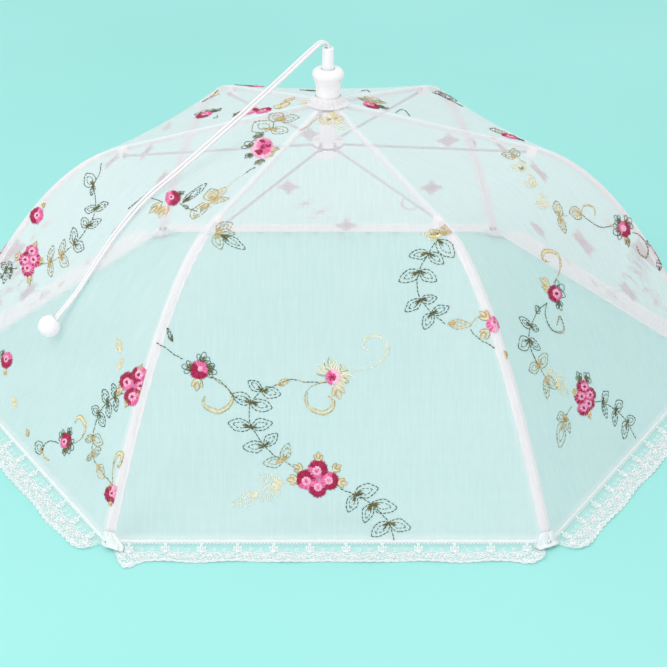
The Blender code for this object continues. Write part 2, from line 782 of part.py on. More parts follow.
def build_runner():
    """The sliding runner, its ring, the stem that stands in it and the cord inside."""
    carrier = hinge_empty("runner_slide", (0, 0, RUNNER_HINGE_HEIGHT))
    groove_bottom = HINGE_RADIUS - RING_RADIUS - RING_RADIUS
    socket = STEM_RADIUS + FIT_GAP
    collar_top = CROWN_BOTTOM - FIT_GAP - RUNNER_HINGE_HEIGHT
    seat = -STEM_SEAT_BELOW_HINGE
    runner = turned_mesh(
        "runner_turned",
        (
            (RUNNER_COLLAR_RADIUS, collar_top),
            (RUNNER_COLLAR_RADIUS, RUNNER_ABOVE_HINGE),
            (RUNNER_RADIUS, RUNNER_ABOVE_HINGE),
            (RUNNER_RADIUS, GROOVE_HALF),
            (groove_bottom, GROOVE_HALF),
            (groove_bottom, -GROOVE_HALF),
            (RUNNER_RADIUS, -GROOVE_HALF),
            (RUNNER_RADIUS, -RUNNER_BELOW_HINGE + RUNNER_EDGE),
            (RUNNER_RADIUS - RUNNER_EDGE, -RUNNER_BELOW_HINGE),
            (KNOT_POCKET_RADIUS, -RUNNER_BELOW_HINGE),
            (KNOT_POCKET_RADIUS, seat - SEAT_THICKNESS),
            (STEM_BORE_RADIUS, seat - SEAT_THICKNESS),
            (STEM_BORE_RADIUS, seat),
            (socket, seat),
            (socket, collar_top),
        ),
    )
    slot_floor = -EYE_RADIUS - SLIDE_GAP
    runner = slotted(runner, "runner", CROWN_NECK_RADIUS, slot_floor, collar_top)
    place("runner", runner, WHITE_PLASTIC, carrier)
    place(
        "runner_ring",
        ring_mesh("runner_ring", HINGE_RADIUS, RING_RADIUS, 0),
        STEEL_RING,
        carrier,
    )
    stem_top = STEM_TOP - RUNNER_HINGE_HEIGHT
    stem = turned_mesh(
        "plunger_stem",
        (
            (STEM_RADIUS - STEM_EDGE, stem_top),
            (STEM_RADIUS, stem_top - STEM_EDGE),
            (STEM_RADIUS, seat + FIT_GAP),
            (STEM_BORE_RADIUS, seat + FIT_GAP),
            (STEM_BORE_RADIUS, stem_top - STEM_EDGE),
            (STEM_BORE_RADIUS + STEM_EDGE, stem_top),
        ),
    )
    place("plunger_stem", stem, WHITE_PLASTIC, carrier)
    knot_height = seat - SEAT_THICKNESS - FIT_GAP - KNOT_RADIUS
    cord_top = STEM_TOP - CORD_START_DEPTH - CORD_JOIN_GAP - RUNNER_HINGE_HEIGHT
    side = Vector((-sin(CORD_AZIMUTH), cos(CORD_AZIMUTH), 0)) * CORD_INNER_OFFSET
    strands = [
        cylinder_mesh(
            f"inner_strand_{index}",
            CORD_RADIUS,
            cord_top - knot_height,
            side * sign + Vector((0, 0, knot_height)),
            (0, 0, 1),
            segments=CORD_SIDES,
        )
        for index, sign in enumerate((1, -1))
    ]
    work = bmesh.new()
    bmesh.ops.create_uvsphere(
        work, u_segments=KNOT_TURN_STEPS, v_segments=KNOT_RISE_STEPS, radius=KNOT_RADIUS
    )
    bmesh.ops.translate(work, vec=(0, 0, knot_height), verts=work.verts)
    knot = bpy.data.meshes.new("knot")
    work.to_mesh(knot)
    work.free()
    place("inner_cord", combine(knot, strands, "UNION", "inner_cord"), CORD_WHITE, carrier)


def build_ribs_and_struts():
    """Six ribs with their clips, tips, sleeves, half gores and lace, and six struts."""
    rib = rib_mesh("rib_wire")
    clip = clip_mesh("rib_clip")
    tip = tip_mesh("rib_tip")
    sleeve = sleeve_mesh("rib_sleeve")
    strut = strut_mesh("strut")
    after = half_gore_mesh("gore_after_rib", 1)
    before = half_gore_mesh("gore_before_rib", -1)
    lace = lace_mesh("lace")
    for index in range(RIB_COUNT):
        turn = rib_azimuth(index)
        out = Vector((cos(turn), sin(turn), 0)) * HINGE_RADIUS
        number = index + 1
        carrier = hinge_empty(f"rib_{number}_hinge", (out.x, out.y, HINGE_HEIGHT), turn)
        place(f"rib_{number}", rib.copy(), ENAMELLED_WIRE, carrier)
        place(f"rib_clip_{number}", clip.copy(), WHITE_PLASTIC, carrier)
        place(f"rib_tip_{number}", tip.copy(), WHITE_PLASTIC, carrier)
        place(f"rib_sleeve_{number}", sleeve.copy(), SLEEVE_TAPE, carrier)
        joint = hinge_empty(f"strut_{number}_hinge", (out.x, out.y, RUNNER_HINGE_HEIGHT), turn)
        place(f"strut_{number}", strut.copy(), ENAMELLED_WIRE, joint)
        for side, letter, mesh in ((1, "a", after), (-1, "b", before)):
            gore_number = number if side > 0 else (number - 2) % RIB_COUNT + 1
            x, y, z = (share * CORNER_RADIUS for share in CREASE_POINT_SHARES)
            crease = hinge_empty(f"gore_{gore_number}{letter}_crease", (x, side * y, z), 0, carrier)
            place(
                f"gore_{gore_number}{letter}", mesh.copy(), WHITE_NET, crease, (-x, -side * y, -z)
            )
            if side > 0:
                strip = lace.copy()
                strip.transform(Matrix.Rotation(HALF_GORE_ANGLE, 4, "Z"))
                strip.transform(Matrix.Translation((-HINGE_RADIUS, 0, -HINGE_HEIGHT)))
                place(f"lace_{gore_number}", strip, WHITE_LACE, crease, (-x, -side * y, -z))


def smooth_route(route, spacing):
    """Points a set distance apart on a smooth curve through a hand-made route."""
    ends = [2 * route[0] - route[1], *route, 2 * route[-1] - route[-2]]
    fine = []
    for a, b, c, d in zip(ends, ends[1:], ends[2:], ends[3:]):
        for i in range(ROUTE_PIECES):
            t = i / ROUTE_PIECES
            fine.append(
                0.5
                * (
                    2 * b
                    + (c - a) * t
                    + (2 * a - 5 * b + 4 * c - d) * t**2
                    + (3 * b - a - 3 * c + d) * t**3
                )
            )
    fine.append(route[-1])
    lengths = [0.0]
    for before, after in zip(fine, fine[1:]):
        lengths.append(lengths[-1] + (after - before).length)
    count = ceil(lengths[-1] / spacing)
    result = []
    index = 0
    for step in range(count + 1):
        target = lengths[-1] * step / count
        while index < len(lengths) - 2 and lengths[index + 1] < target:
            index += 1
        run = lengths[index + 1] - lengths[index]
        share = (target - lengths[index]) / run if run > 0 else 0.0
        result.append(fine[index].lerp(fine[index + 1], share))
    return result, lengths[-1]


def build_cord():
    """Two strands from the stem's mouth over the dome to the bead."""
    radial = Vector((cos(CORD_AZIMUTH), sin(CORD_AZIMUTH), 0))
    sideways = Vector((-sin(CORD_AZIMUTH), cos(CORD_AZIMUTH), 0))
    up = Vector((0, 0, 1))
    line = [radial * out + sideways * side + up * height for out, side, height in CORD_ROUTE]
    out, side, height = BEAD_CENTRE
    centre = radial * out + sideways * side + up * height
    arrival = (line[-1] - centre).normalized()
    line[-1] = centre + arrival * (BEAD_RADIUS - BEAD_BORE_DEPTH + FIT_GAP)
    for letter, sign in (("a", 1), ("b", -1)):
        last = len(line) - 1
        strand = []
        for index, point in enumerate(line):
            open_share = sin(pi * index / last) ** 2
            offset = CORD_INNER_OFFSET + (CORD_SPREAD - CORD_INNER_OFFSET) * open_share
            strand.append(point + sideways * sign * offset)
        spacing = 2 * CORD_RADIUS * CORD_STEP_DIAMETERS
        points, length = smooth_route(strand, spacing)
        print(f"pull_cord_{letter}: {length:.4f} m over {len(points)} points")
        place(
            f"pull_cord_{letter}",
            wire_mesh(f"pull_cord_{letter}", points, CORD_RADIUS),
            CORD_WHITE,
        )
    carrier = hinge_empty("bead_slide", centre)
    start = pi / 2 - atan2(BEAD_FLAT_RADIUS, BEAD_RADIUS)
    profile = []
    for step in range(BEAD_STEPS + 1):
        angle = start - 2 * start * step / BEAD_STEPS
        profile.append((BEAD_RADIUS * cos(angle), BEAD_RADIUS * sin(angle)))
    top = profile[0][1]
    shoulder = top - BEAD_BORE_DEPTH
    profile.append((BEAD_TAIL_BORE_RADIUS, -top))
    profile.append((BEAD_TAIL_BORE_RADIUS, shoulder))
    profile.append((BEAD_BORE_RADIUS, shoulder))
    profile.append((BEAD_BORE_RADIUS, top))
    bead = turned_mesh("bead", profile)
    bead.transform(up.rotation_difference(arrival).to_matrix().to_4x4())
    place("bead", bead, WHITE_PLASTIC, carrier)


build_hub()
build_runner()
build_ribs_and_struts()
build_cord()
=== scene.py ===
# %% [markdown]
# # A net food cover that opens like an umbrella
#
# This lesson dresses a cover of embroidered net that keeps flies off a table.
# Six wire ribs hang from a white crown, a cord pulls the crown open, and a lace
# trim lies on the table all round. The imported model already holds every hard
# part in its true place and size, so the first step is to load it and to note
# the box that it fills.

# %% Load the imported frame
import math
import random

import bmesh
import bpy
import numpy as np
from mathutils import Matrix, Vector


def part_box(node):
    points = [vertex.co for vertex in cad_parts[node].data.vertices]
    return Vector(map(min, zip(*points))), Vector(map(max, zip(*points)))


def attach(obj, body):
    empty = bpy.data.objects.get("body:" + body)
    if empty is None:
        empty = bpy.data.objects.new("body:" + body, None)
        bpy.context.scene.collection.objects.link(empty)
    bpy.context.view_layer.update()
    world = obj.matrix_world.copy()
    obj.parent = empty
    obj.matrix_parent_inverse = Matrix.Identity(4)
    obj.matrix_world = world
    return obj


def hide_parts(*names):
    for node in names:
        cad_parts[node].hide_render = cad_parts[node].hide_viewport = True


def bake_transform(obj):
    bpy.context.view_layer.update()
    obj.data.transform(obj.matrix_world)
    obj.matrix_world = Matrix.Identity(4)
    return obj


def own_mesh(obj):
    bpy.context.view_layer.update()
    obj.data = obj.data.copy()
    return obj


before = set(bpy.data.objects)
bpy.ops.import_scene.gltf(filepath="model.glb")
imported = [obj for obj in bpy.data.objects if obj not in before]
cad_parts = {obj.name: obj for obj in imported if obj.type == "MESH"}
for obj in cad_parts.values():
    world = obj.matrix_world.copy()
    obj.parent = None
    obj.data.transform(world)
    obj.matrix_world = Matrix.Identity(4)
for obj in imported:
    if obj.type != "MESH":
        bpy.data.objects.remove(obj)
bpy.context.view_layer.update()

MM = 0.001

# %% [markdown]
# ## The camera
#
# A product photographer stood a little above the cover and used a long lens.
# The place, the tilt and the lens were worked out from the lines of the cover's
# own ribs, so the picture frames it as the photograph does.

# %% Set the camera
FRAME_PIXELS = 667
FOCAL_PIXELS = 2126
OBJECT_COLUMN = 328
SENSOR_MM = 36.0
CAMERA_PLACE = (0.0, -1.623, 0.844)
CAMERA_TILT = math.radians(63.5)

camera_data = bpy.data.cameras.new("camera")
camera_data.sensor_width = SENSOR_MM
camera_data.lens = FOCAL_PIXELS / FRAME_PIXELS * SENSOR_MM
camera_data.shift_x = (FRAME_PIXELS / 2 - OBJECT_COLUMN) / FRAME_PIXELS
camera = bpy.data.objects.new("camera", camera_data)
camera.location = CAMERA_PLACE
camera.rotation_euler = (CAMERA_TILT, 0, 0)
bpy.context.scene.collection.objects.link(camera)
bpy.context.scene.camera = camera
print("lens:", round(camera_data.lens, 1), "mm")

# %% [markdown]
# ## One wire for every sum
#
# Materials and Geometry Nodes trees are both made of nodes. Clicking them
# together is slow, so two small classes write them from Python. A `Wire` holds
# one output socket, and ordinary signs such as `1 - wire` add Math nodes. A
# `Bench` is one tree, and its `node` method adds any node: its type, then its
# settings, then the values or wires of its sockets. Its other methods add the
# nodes that come back again and again.


# %% Wire and Bench
def maths_node(operation, swapped=False):
    """A method of Wire that adds one Math node."""

    def method(self, *others):
        values = (self, *others)
        return self.maths(operation, *(values[::-1] if swapped else values))

    return method


class Wire:
    """An output socket that can stand in a sum."""

    def __init__(self, bench, socket):
        self.bench = bench
        self.socket = socket

    def maths(self, operation, *values, clamp=False):
        settings = {"operation": operation, "use_clamp": clamp}
        return self.bench.node("ShaderNodeMath", settings, dict(enumerate(values)))

    __add__, __radd__ = maths_node("ADD"), maths_node("ADD", swapped=True)
    __sub__, __rsub__ = maths_node("SUBTRACT"), maths_node("SUBTRACT", swapped=True)
    __mul__, __rmul__ = maths_node("MULTIPLY"), maths_node("MULTIPLY", swapped=True)
    __truediv__ = maths_node("DIVIDE")
    sine, size, largest = maths_node("SINE"), maths_node("ABSOLUTE"), maths_node("MAXIMUM")

    def held(self):
        """Kept between 0 and 1."""
        return self.maths("ADD", self, 0.0, clamp=True)

    def ramp(self, low, high):
        """Soft step: 0 below low, 1 above high."""
        settings = {"interpolation_type": "SMOOTHSTEP"}
        return self.bench.node("ShaderNodeMapRange", settings, {0: self, 1: low, 2: high})


class Bench:
    """One node tree, and the methods that add nodes to it."""

    def __init__(self, tree):
        self.tree = tree
        tree.nodes.clear()

    def node(self, kind, settings=None, sockets=None, output=0):
        made = self.tree.nodes.new(kind)
        for name, value in (settings or {}).items():
            setattr(made, name, value)
        for name, value in (sockets or {}).items():
            if isinstance(value, Wire):
                self.tree.links.new(value.socket, made.inputs[name])
            else:
                made.inputs[name].default_value = value
        return Wire(self, made.outputs[output]) if made.outputs else made

    def mix(self, factor, first, second):
        """A colour between two colours."""
        sockets = {0: factor, 6: shade(first), 7: shade(second)}
        return self.node("ShaderNodeMix", {"data_type": "RGBA"}, sockets, output=2)

    def cloth(self):
        """How far along and across its own cloth a spot is, in metres."""
        plan = self.node("ShaderNodeUVMap", {"uv_map": "cloth"})
        split = self.node("ShaderNodeSeparateXYZ", None, {0: plan})
        return split, Wire(self, split.socket.node.outputs[1])

    def vector(self, x, y=0.0):
        return self.node("ShaderNodeCombineXYZ", None, {0: x, 1: y})

    def attribute(self, name, output):
        return self.node("ShaderNodeAttribute", {"attribute_name": name}, output=output)

    def noise(self, scale, detail=2.0, where=None):
        """Cloudy values round 0.5, at so many clouds a metre."""
        where = where or self.node("ShaderNodeTexCoord", output="Object")
        sockets = {"Vector": where, "Scale": scale, "Detail": detail}
        return self.node("ShaderNodeTexNoise", None, sockets)


def shade(colour):
    """Three numbers as the four of a colour socket."""
    return colour if isinstance(colour, Wire) else (*colour, 1.0)


class Finish(Bench):
    """A material: its Principled shader takes values, wires, or both."""

    def __init__(self, name):
        self.material = bpy.data.materials.new(name)
        self.material.use_nodes = True
        super().__init__(self.material.node_tree)

    def surface(self, **sockets):
        named = {key.replace("_", " "): value for key, value in sockets.items()}
        shader = self.node("ShaderNodeBsdfPrincipled", None, named)
        self.node("ShaderNodeOutputMaterial", None, {"Surface": shader})
        return self.material

    def bump(self, height, distance, strength=1.0):
        sockets = {"Height": height, "Distance": distance, "Strength": strength}
        return self.node("ShaderNodeBump", None, sockets, output="Normal")


# %% [markdown]
# ## Recipes that grow a piece
#
# Geometry Nodes repeat a shape, or run a profile along a path, from a few named sizes. `Recipe` makes
# such a tree with named inputs. `grow` runs it on a seed mesh and keeps the result as a plain mesh whose
# object sits at the origin, because only plain meshes follow the joints.


# %% Recipe and grow
SOCKETS = {
    float: "NodeSocketFloat",
    int: "NodeSocketInt",
    "material": "NodeSocketMaterial",
}


class Recipe(Bench):
    """A Geometry Nodes tree whose inputs are named sizes and one material."""

    def __init__(self, name, **sizes):
        tree = bpy.data.node_groups.new(name, "GeometryNodeTree")
        super().__init__(tree)
        tree.interface.new_socket("Geometry", in_out="INPUT", socket_type="NodeSocketGeometry")
        tree.interface.new_socket("Geometry", in_out="OUTPUT", socket_type="NodeSocketGeometry")
        for label, value in sizes.items():
            kind = SOCKETS[type(value)]
            made = tree.interface.new_socket(label, in_out="INPUT", socket_type=kind)
            made.default_value = value
        tree.interface.new_socket("Material", in_out="INPUT", socket_type=SOCKETS["material"])
        self.entry = tree.nodes.new("NodeGroupInput")

    def taken(self, name):
        return Wire(self, self.entry.outputs[name])

    def circle(self, points):
        sockets = {"Resolution": points, "Radius": 1.0}
        return self.node("GeometryNodeCurvePrimitiveCircle", None, sockets)

    def swept(self, line, profile, size):
        """A profile run along a line, with closed ends."""
        sockets = {0: line, 1: profile, "Scale": size, "Fill Caps": True}
        return self.node("GeometryNodeCurveToMesh", None, sockets)

    def named(self, name, kind="FLOAT"):
        return self.node("GeometryNodeInputNamedAttribute", {"data_type": kind}, {"Name": name})

    def threads(self, edges):
        """Edges as round threads, as thick as the attribute of their points says."""
        line = self.node("GeometryNodeMeshToCurve", None, {0: edges})
        size = self.named("thickness") * self.taken("Fullness")
        return self.swept(line, self.circle(self.taken("Sides")), size)

    def done(self, geometry):
        plain = self.node("GeometryNodeRealizeInstances", None, {0: geometry})
        sockets = {"Geometry": plain, "Material": self.taken("Material")}
        painted = self.node("GeometryNodeSetMaterial", None, sockets)
        self.node("NodeGroupOutput", None, {0: painted})
        return self.tree


def add_piece(name, mesh, material=None, smooth=True):
    """A new object at the origin that holds a finished mesh."""
    mesh.name = name
    if material:
        mesh.materials.append(material)
    item = bpy.data.objects.new(name, mesh)
    bpy.context.scene.collection.objects.link(item)
    mesh.polygons.foreach_set("use_smooth", [smooth] * len(mesh.polygons))
    return item


def grow(name, tree, seed, material):
    """Runs a recipe on a seed mesh and keeps the grown piece as a plain mesh."""
    item = bpy.data.objects.new(f"{name}_seed", seed)
    bpy.context.scene.collection.objects.link(item)
    modifier = item.modifiers.new("recipe", "NODES")
    modifier.node_group = tree
    for socket in tree.interface.items_tree:
        if socket.in_out == "INPUT" and socket.name == "Material":
            modifier[socket.identifier] = material
    graph = bpy.context.evaluated_depsgraph_get()
    mesh = bpy.data.meshes.new_from_object(
        item.evaluated_get(graph), preserve_all_data_layers=True, depsgraph=graph
    )
    bpy.data.objects.remove(item)
    return add_piece(name, mesh)


def sheet_mesh(name, grid, wrap=False, uv=None):
    """Rows of points joined by faces. wrap closes each row, uv gives metres along and across."""
    rows, columns = grid.shape[:2]
    faces, last = [], columns if wrap else columns - 1
    for row in range(rows - 1):
        for column in range(last):
            a = row * columns + column
            b = row * columns + (column + 1) % columns
            faces.append((a, a + columns, b + columns, b))
    mesh = bpy.data.meshes.new(name)
    mesh.from_pydata(grid.reshape(-1, 3).tolist(), [], faces)
    if uv is not None:
        layer = mesh.uv_layers.new(name="cloth")
        corners = np.zeros(len(mesh.loops), np.int64)
        mesh.loops.foreach_get("vertex_index", corners)
        layer.data.foreach_set("uv", uv.reshape(-1, 2)[corners].ravel().astype(np.float32))
    return mesh


def closed_piece(name, rings, material):
    """A tube through rings of points, with doubled points merged and every face turned outwards."""
    mesh = sheet_mesh(name, np.array(rings), wrap=True)
    work = bmesh.new()
    work.from_mesh(mesh)
    bmesh.ops.remove_doubles(work, verts=work.verts, dist=1e-6)
    bmesh.ops.dissolve_degenerate(work, edges=work.edges, dist=1e-7)
    bmesh.ops.recalc_face_normals(work, faces=work.faces)
    work.to_mesh(mesh)
    work.free()
    return add_piece(name, mesh, material)


def runs(points):
    """How far along a line each of its points is."""
    steps = np.diff(points, axis=0)
    gaps = np.abs(steps) if points.ndim == 1 else np.linalg.norm(steps, axis=1)
    return np.concatenate([[0.0], np.cumsum(gaps)])


# %% [markdown]
# ## The pull cord
#
# One thin cord is doubled: both strands leave the mouth of the stem, lie over
# the dome and end in a bead, which a hand pulls to open the cover. The photograph
# shows it from end to end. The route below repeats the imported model's own
# points, out from the axis, sideways and up, so that the dressed cord lies just
# where its solids are. A Catmull-Rom curve runs through the points, and an even
# spacing along it gives the strands their path.

# %% The route of the two strands
CORD_RADIUS = 1.2 * MM
CORD_INNER_OFFSET = 1.35 * MM
CORD_SPREAD = 2.4 * MM
CORD_AZIMUTH = math.radians(211.5)
CORD_MOUTH = (0.0, 0.0, 288.5 * MM)
CORD_ROUTE = (
    (0, 0, 288.5), (0, 0, 291), (1.5, 0, 294.6), (5, 0, 296), (8.8, 0, 294.8),
    (20, 0, 287.8), (45, 0, 271.4), (75, 0, 252.2), (105, 0, 233.6), (135, 0, 215.4),
    (152, 0, 205.6), (163.5, 0, 198.9), (172.5, -0.2, 192.4), (182.5, -0.6, 183.4),
    (196, -1.8, 169.4), (211.5, -4.2, 149), (219.5, -6.2, 137.2), (229, -9, 123.6),
    (240, -12, 109.6),
)
BEAD_CENTRE = (249.5, -14.0, 100.4)
BEAD_RADIUS = 8.75 * MM
CORD_END_DEPTH = 1.05 * MM
STEP_ALONG_CORD = 3.0 * MM
ROUTE_PIECES = 24

CORD_OUT = np.array([math.cos(CORD_AZIMUTH), math.sin(CORD_AZIMUTH), 0.0])
CORD_SIDE = np.array([-math.sin(CORD_AZIMUTH), math.cos(CORD_AZIMUTH), 0.0])
UP = np.array([0.0, 0.0, 1.0])


def on_cord_plane(spot):
    out, side, height = spot
    return (CORD_OUT * out + CORD_SIDE * side + UP * height) * MM


def smooth(points, spacing=None):
    """A Catmull-Rom curve through points, at an even spacing if one is given."""
    points = np.array(points, dtype=complex if np.iscomplexobj(points) else float)
    ends = [2 * points[0] - points[1], *points, 2 * points[-1] - points[-2]]
    fine = []
    for a, b, c, d in zip(ends, ends[1:], ends[2:], ends[3:]):
        for t in np.arange(ROUTE_PIECES) / ROUTE_PIECES:
            bend = (2 * a - 5 * b + 4 * c - d) * t**2 + (3 * b - a - 3 * c + d) * t**3
            fine.append((2 * b + (c - a) * t + bend) / 2)
    fine = np.array([*fine, points[-1]])
    if spacing is None:
        return fine
    run = runs(fine)
    marks = np.linspace(0.0, run[-1], max(2, math.ceil(run[-1] / spacing)) + 1)
    if fine.ndim == 1:
        return np.interp(marks, run, fine.real) + 1j * np.interp(marks, run, fine.imag)
    return np.stack([np.interp(marks, run, fine[:, i]) for i in range(3)], axis=1)


def line_length(points):
    return float(np.linalg.norm(np.diff(points, axis=0), axis=1).sum())


bead_centre = on_cord_plane(BEAD_CENTRE)
middle = [on_cord_plane(spot) for spot in CORD_ROUTE]
arrival = (middle[-1] - bead_centre) / np.linalg.norm(middle[-1] - bead_centre)
middle[-1] = bead_centre + arrival * CORD_END_DEPTH
strand_paths = {}
for letter, sign in (("a", 1), ("b", -1)):
    spread = np.sin(np.pi * np.arange(len(middle)) / (len(middle) - 1)) ** 2
    offsets = CORD_INNER_OFFSET + (CORD_SPREAD - CORD_INNER_OFFSET) * spread
    strand = np.array(middle) + np.outer(sign * offsets, CORD_SIDE)
    strand_paths[letter] = smooth(strand, STEP_ALONG_CORD)
    print("strand", letter, round(line_length(strand_paths[letter]), 4), "m")

# %% [markdown]
# ## How the cord is laid
#
# A polyester cord is three yarns twisted together, so its outline has three
# lobes that turn as it runs. The recipe bends a circle into that profile, turns
# it with the curve's tilt, and sweeps it along the path.

# %% Recipe for laid cord
LAY_PITCH = 6.5 * MM
YARNS = 3
LOBE_DEPTH = 0.09
PROFILE_SWELL = 1.12
PROFILE_POINTS = 12


def laid_cord_recipe():
    bench = Recipe("laid_cord", Radius=CORD_RADIUS * PROFILE_SWELL, Pitch=LAY_PITCH)
    line = bench.node("GeometryNodeMeshToCurve", None, {0: bench.taken("Geometry")})
    line = bench.node("GeometryNodeResampleCurve", {"mode": "LENGTH"}, {0: line, "Length": MM})
    run = bench.node("GeometryNodeSplineParameter", output="Length")
    turn = run / bench.taken("Pitch") * math.tau
    line = bench.node("GeometryNodeSetCurveTilt", None, {0: line, "Tilt": turn})
    place = bench.node("GeometryNodeSplineParameter", output="Factor")
    wave = (place * (YARNS * math.tau)).sine() * LOBE_DEPTH + (1 - LOBE_DEPTH)
    spot = bench.node("GeometryNodeInputPosition")
    lobed = bench.node("ShaderNodeVectorMath", {"operation": "SCALE"}, {0: spot, "Scale": wave})
    ring = {0: bench.circle(PROFILE_POINTS), "Position": lobed}
    ring = bench.node("GeometryNodeSetPosition", None, ring)
    return bench.done(bench.swept(line, ring, bench.taken("Radius")))


LAID_CORD = laid_cord_recipe()


def path_mesh(paths, thickness=()):
    """Loose lines as a mesh of edges, with a thickness at each point if it is given."""
    points, edges = [], []
    for path in paths:
        edges += [(len(points) + i, len(points) + i + 1) for i in range(len(path) - 1)]
        points += [tuple(point) for point in path]
    mesh = bpy.data.meshes.new("lines")
    mesh.from_pydata(points, edges, [])
    if len(thickness):
        mesh.attributes.new("thickness", "FLOAT", "POINT").data.foreach_set("value", thickness)
    return mesh


# %% [markdown]
# ## The finish of the cord
#
# Spun polyester is bright white and dull. Fine yarns lie along each lobe, so a
# stretched noise gives them a slight change of tone, and the hollows between
# the lobes hold a little more shade.

# %% Cord finish


def cord_finish():
    bench = Finish("cord_white")
    yarn = bench.noise(2200, detail=3.0)
    cloud = bench.noise(60)
    tone = bench.mix(yarn.ramp(0.35, 0.7), (0.91, 0.90, 0.92), (0.98, 0.98, 0.985))
    tone = bench.mix(cloud.ramp(0.4, 0.75) * 0.35, tone, (0.95, 0.955, 0.975))
    return bench.surface(
        Base_Color=tone,
        Roughness=yarn * 0.2 + 0.62,
        Sheen_Weight=0.25,
        Sheen_Roughness=0.5,
        Normal=bench.bump(yarn, 0.1 * MM, 0.4),
    )


CORD_WHITE = cord_finish()

# %% [markdown]
# ## Cord, bead and the stretch inside the stem
#
# The strands ride on the hub. The bead is a moulded ball with a parting line,
# turned here from a half profile.

strands = {}
for letter, path in strand_paths.items():
    strands[letter] = grow(f"cord_strand_{letter}", LAID_CORD, path_mesh([path]), CORD_WHITE)
    print(strands[letter].name, "faces:", len(strands[letter].data.polygons))

# %% Helper for turned pieces
TURN_STEPS = 72


def turned(name, profile, material, centre=(0, 0, 0), axis=(0, 0, 1)):
    """Spins a profile of radius and height, from top to bottom, round an axis."""
    turn = np.array(Vector(axis).to_track_quat("Z", "Y").to_matrix())
    angles = np.arange(TURN_STEPS) / TURN_STEPS * math.tau
    rings = []
    for radius, height in profile:
        ring = [radius * np.cos(angles), radius * np.sin(angles), np.full(TURN_STEPS, height)]
        rings.append(np.stack(ring, 1) @ turn.T + np.array(centre))
    return closed_piece(name, rings, material)


def arc(centre, radius, start, stop, steps):
    """Points of a rounded corner in a profile, angles in degrees."""
    angles = np.radians(np.linspace(start, stop, steps))
    return [(centre[0] + radius * math.cos(a), centre[1] + radius * math.sin(a)) for a in angles]

# %% [markdown]
# ## White moulded plastic
#
# Knob, stem and bead are injection-moulded. The plastic is glossy but not
# perfect: it has a faint orange-peel ripple, cloudy patches of dullness from
# handling, and a little dust grey where hands don't rub.

# %% Plastic finish


def plastic_finish():
    bench = Finish("white_plastic")
    cloud = bench.noise(140, detail=4.0)
    peel = bench.noise(900, detail=2.0)
    tone = bench.mix(cloud.ramp(0.35, 0.75), (0.935, 0.935, 0.95), (0.975, 0.975, 0.985))
    return bench.surface(
        Base_Color=tone,
        Roughness=cloud * 0.16 + 0.20,
        IOR=1.49,
        Coat_Weight=cloud * 0.2 + 0.1,
        Coat_Roughness=0.12,
        Normal=bench.bump(peel, 0.03 * MM, 0.5),
    )


WHITE_PLASTIC = plastic_finish()

# %% [markdown]
# ## Bead, knob and stem
#
# Each of these is round, so each is one half profile spun about its axis. The
# corners of the profile are arcs, because a moulded edge is never sharp and it
# is the rounded edge that catches the light.

# %% Turn the bead
BEAD_HOLE_RADIUS = 3.1 * MM
BEAD_HOLE_DEPTH = 7.9 * MM
BEAD_TAIL_RADIUS = 3.9 * MM
BEAD_LIP_RADIUS = 3.35 * MM
BEAD_LIP_DEPTH = 0.4 * MM
SEAM_HEIGHT = 0.12 * MM
SEAM_ANGLE = 0.03
ON_AXIS = 0.001 * MM

hole_floor = (BEAD_RADIUS**2 - BEAD_TAIL_RADIUS**2) ** 0.5 - BEAD_HOLE_DEPTH
ball = []
for angle in np.radians(np.linspace(64, -63, 40)):
    round_radius = BEAD_RADIUS + SEAM_HEIGHT * math.exp(-((angle / SEAM_ANGLE) ** 2))
    ball.append((round_radius * math.cos(angle), round_radius * math.sin(angle)))
lip = ball[0][1]
bead_profile = [(ON_AXIS, hole_floor), (BEAD_HOLE_RADIUS, hole_floor)]
bead_profile += [(BEAD_HOLE_RADIUS, lip - BEAD_LIP_DEPTH), (BEAD_LIP_RADIUS, lip)]
bead_profile += [*ball, (ON_AXIS, ball[-1][1])]
bead = turned("pull_bead", bead_profile, WHITE_PLASTIC, bead_centre, tuple(arrival))
print("bead:", [round(side / MM, 2) for side in bead.dimensions], "mm")

# %% Turn the knob and the stem
_, knob_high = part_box("knob")
stem_low, stem_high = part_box("plunger_stem")
KNOB_BORE = 5.2 * MM
KNOB_HEAD_BOTTOM = 260.2 * MM
KNOB_ROUND = 4.9 * MM
KNOB_NECK_TOP = 10.0 * MM
KNOB_NECK_BASE = 9.9 * MM
KNOB_FILLET = 2.0 * MM
KNOB_NARROW_FROM = 252 * MM
KNOB_FOOT = 247.2 * MM
KNOB_EDGE = 0.4 * MM
STEM_BORE = 2.75 * MM
STEM_LIP = 1.3 * MM

head_round = arc((knob_high.x - KNOB_ROUND, knob_high.z - KNOB_ROUND), KNOB_ROUND, 84, -38, 18)
knob_profile = [(KNOB_BORE, knob_high.z - 0.8 * MM), (KNOB_BORE + 0.8 * MM, knob_high.z)]
knob_profile += [
    *head_round,
    (KNOB_NECK_TOP + 0.5 * MM, KNOB_HEAD_BOTTOM),
    (KNOB_NECK_TOP, KNOB_HEAD_BOTTOM - KNOB_FILLET),
    (KNOB_NECK_BASE, KNOB_NARROW_FROM),
    (KNOB_NECK_BASE, KNOB_FOOT + KNOB_EDGE),
    (KNOB_NECK_BASE - KNOB_EDGE, KNOB_FOOT),
    (KNOB_BORE, KNOB_FOOT),
    knob_profile[0],
]
knob = turned("crown_knob", knob_profile, WHITE_PLASTIC)
stem_profile = [(STEM_BORE, stem_high.z - 12 * MM), (STEM_BORE, stem_high.z - 0.5 * MM)]
stem_profile += arc((stem_high.x - STEM_LIP, stem_high.z - STEM_LIP), STEM_LIP, 150, 0, 12)
stem_profile += [(stem_high.x, stem_high.z - 4 * MM), (stem_high.x, stem_low.z)]
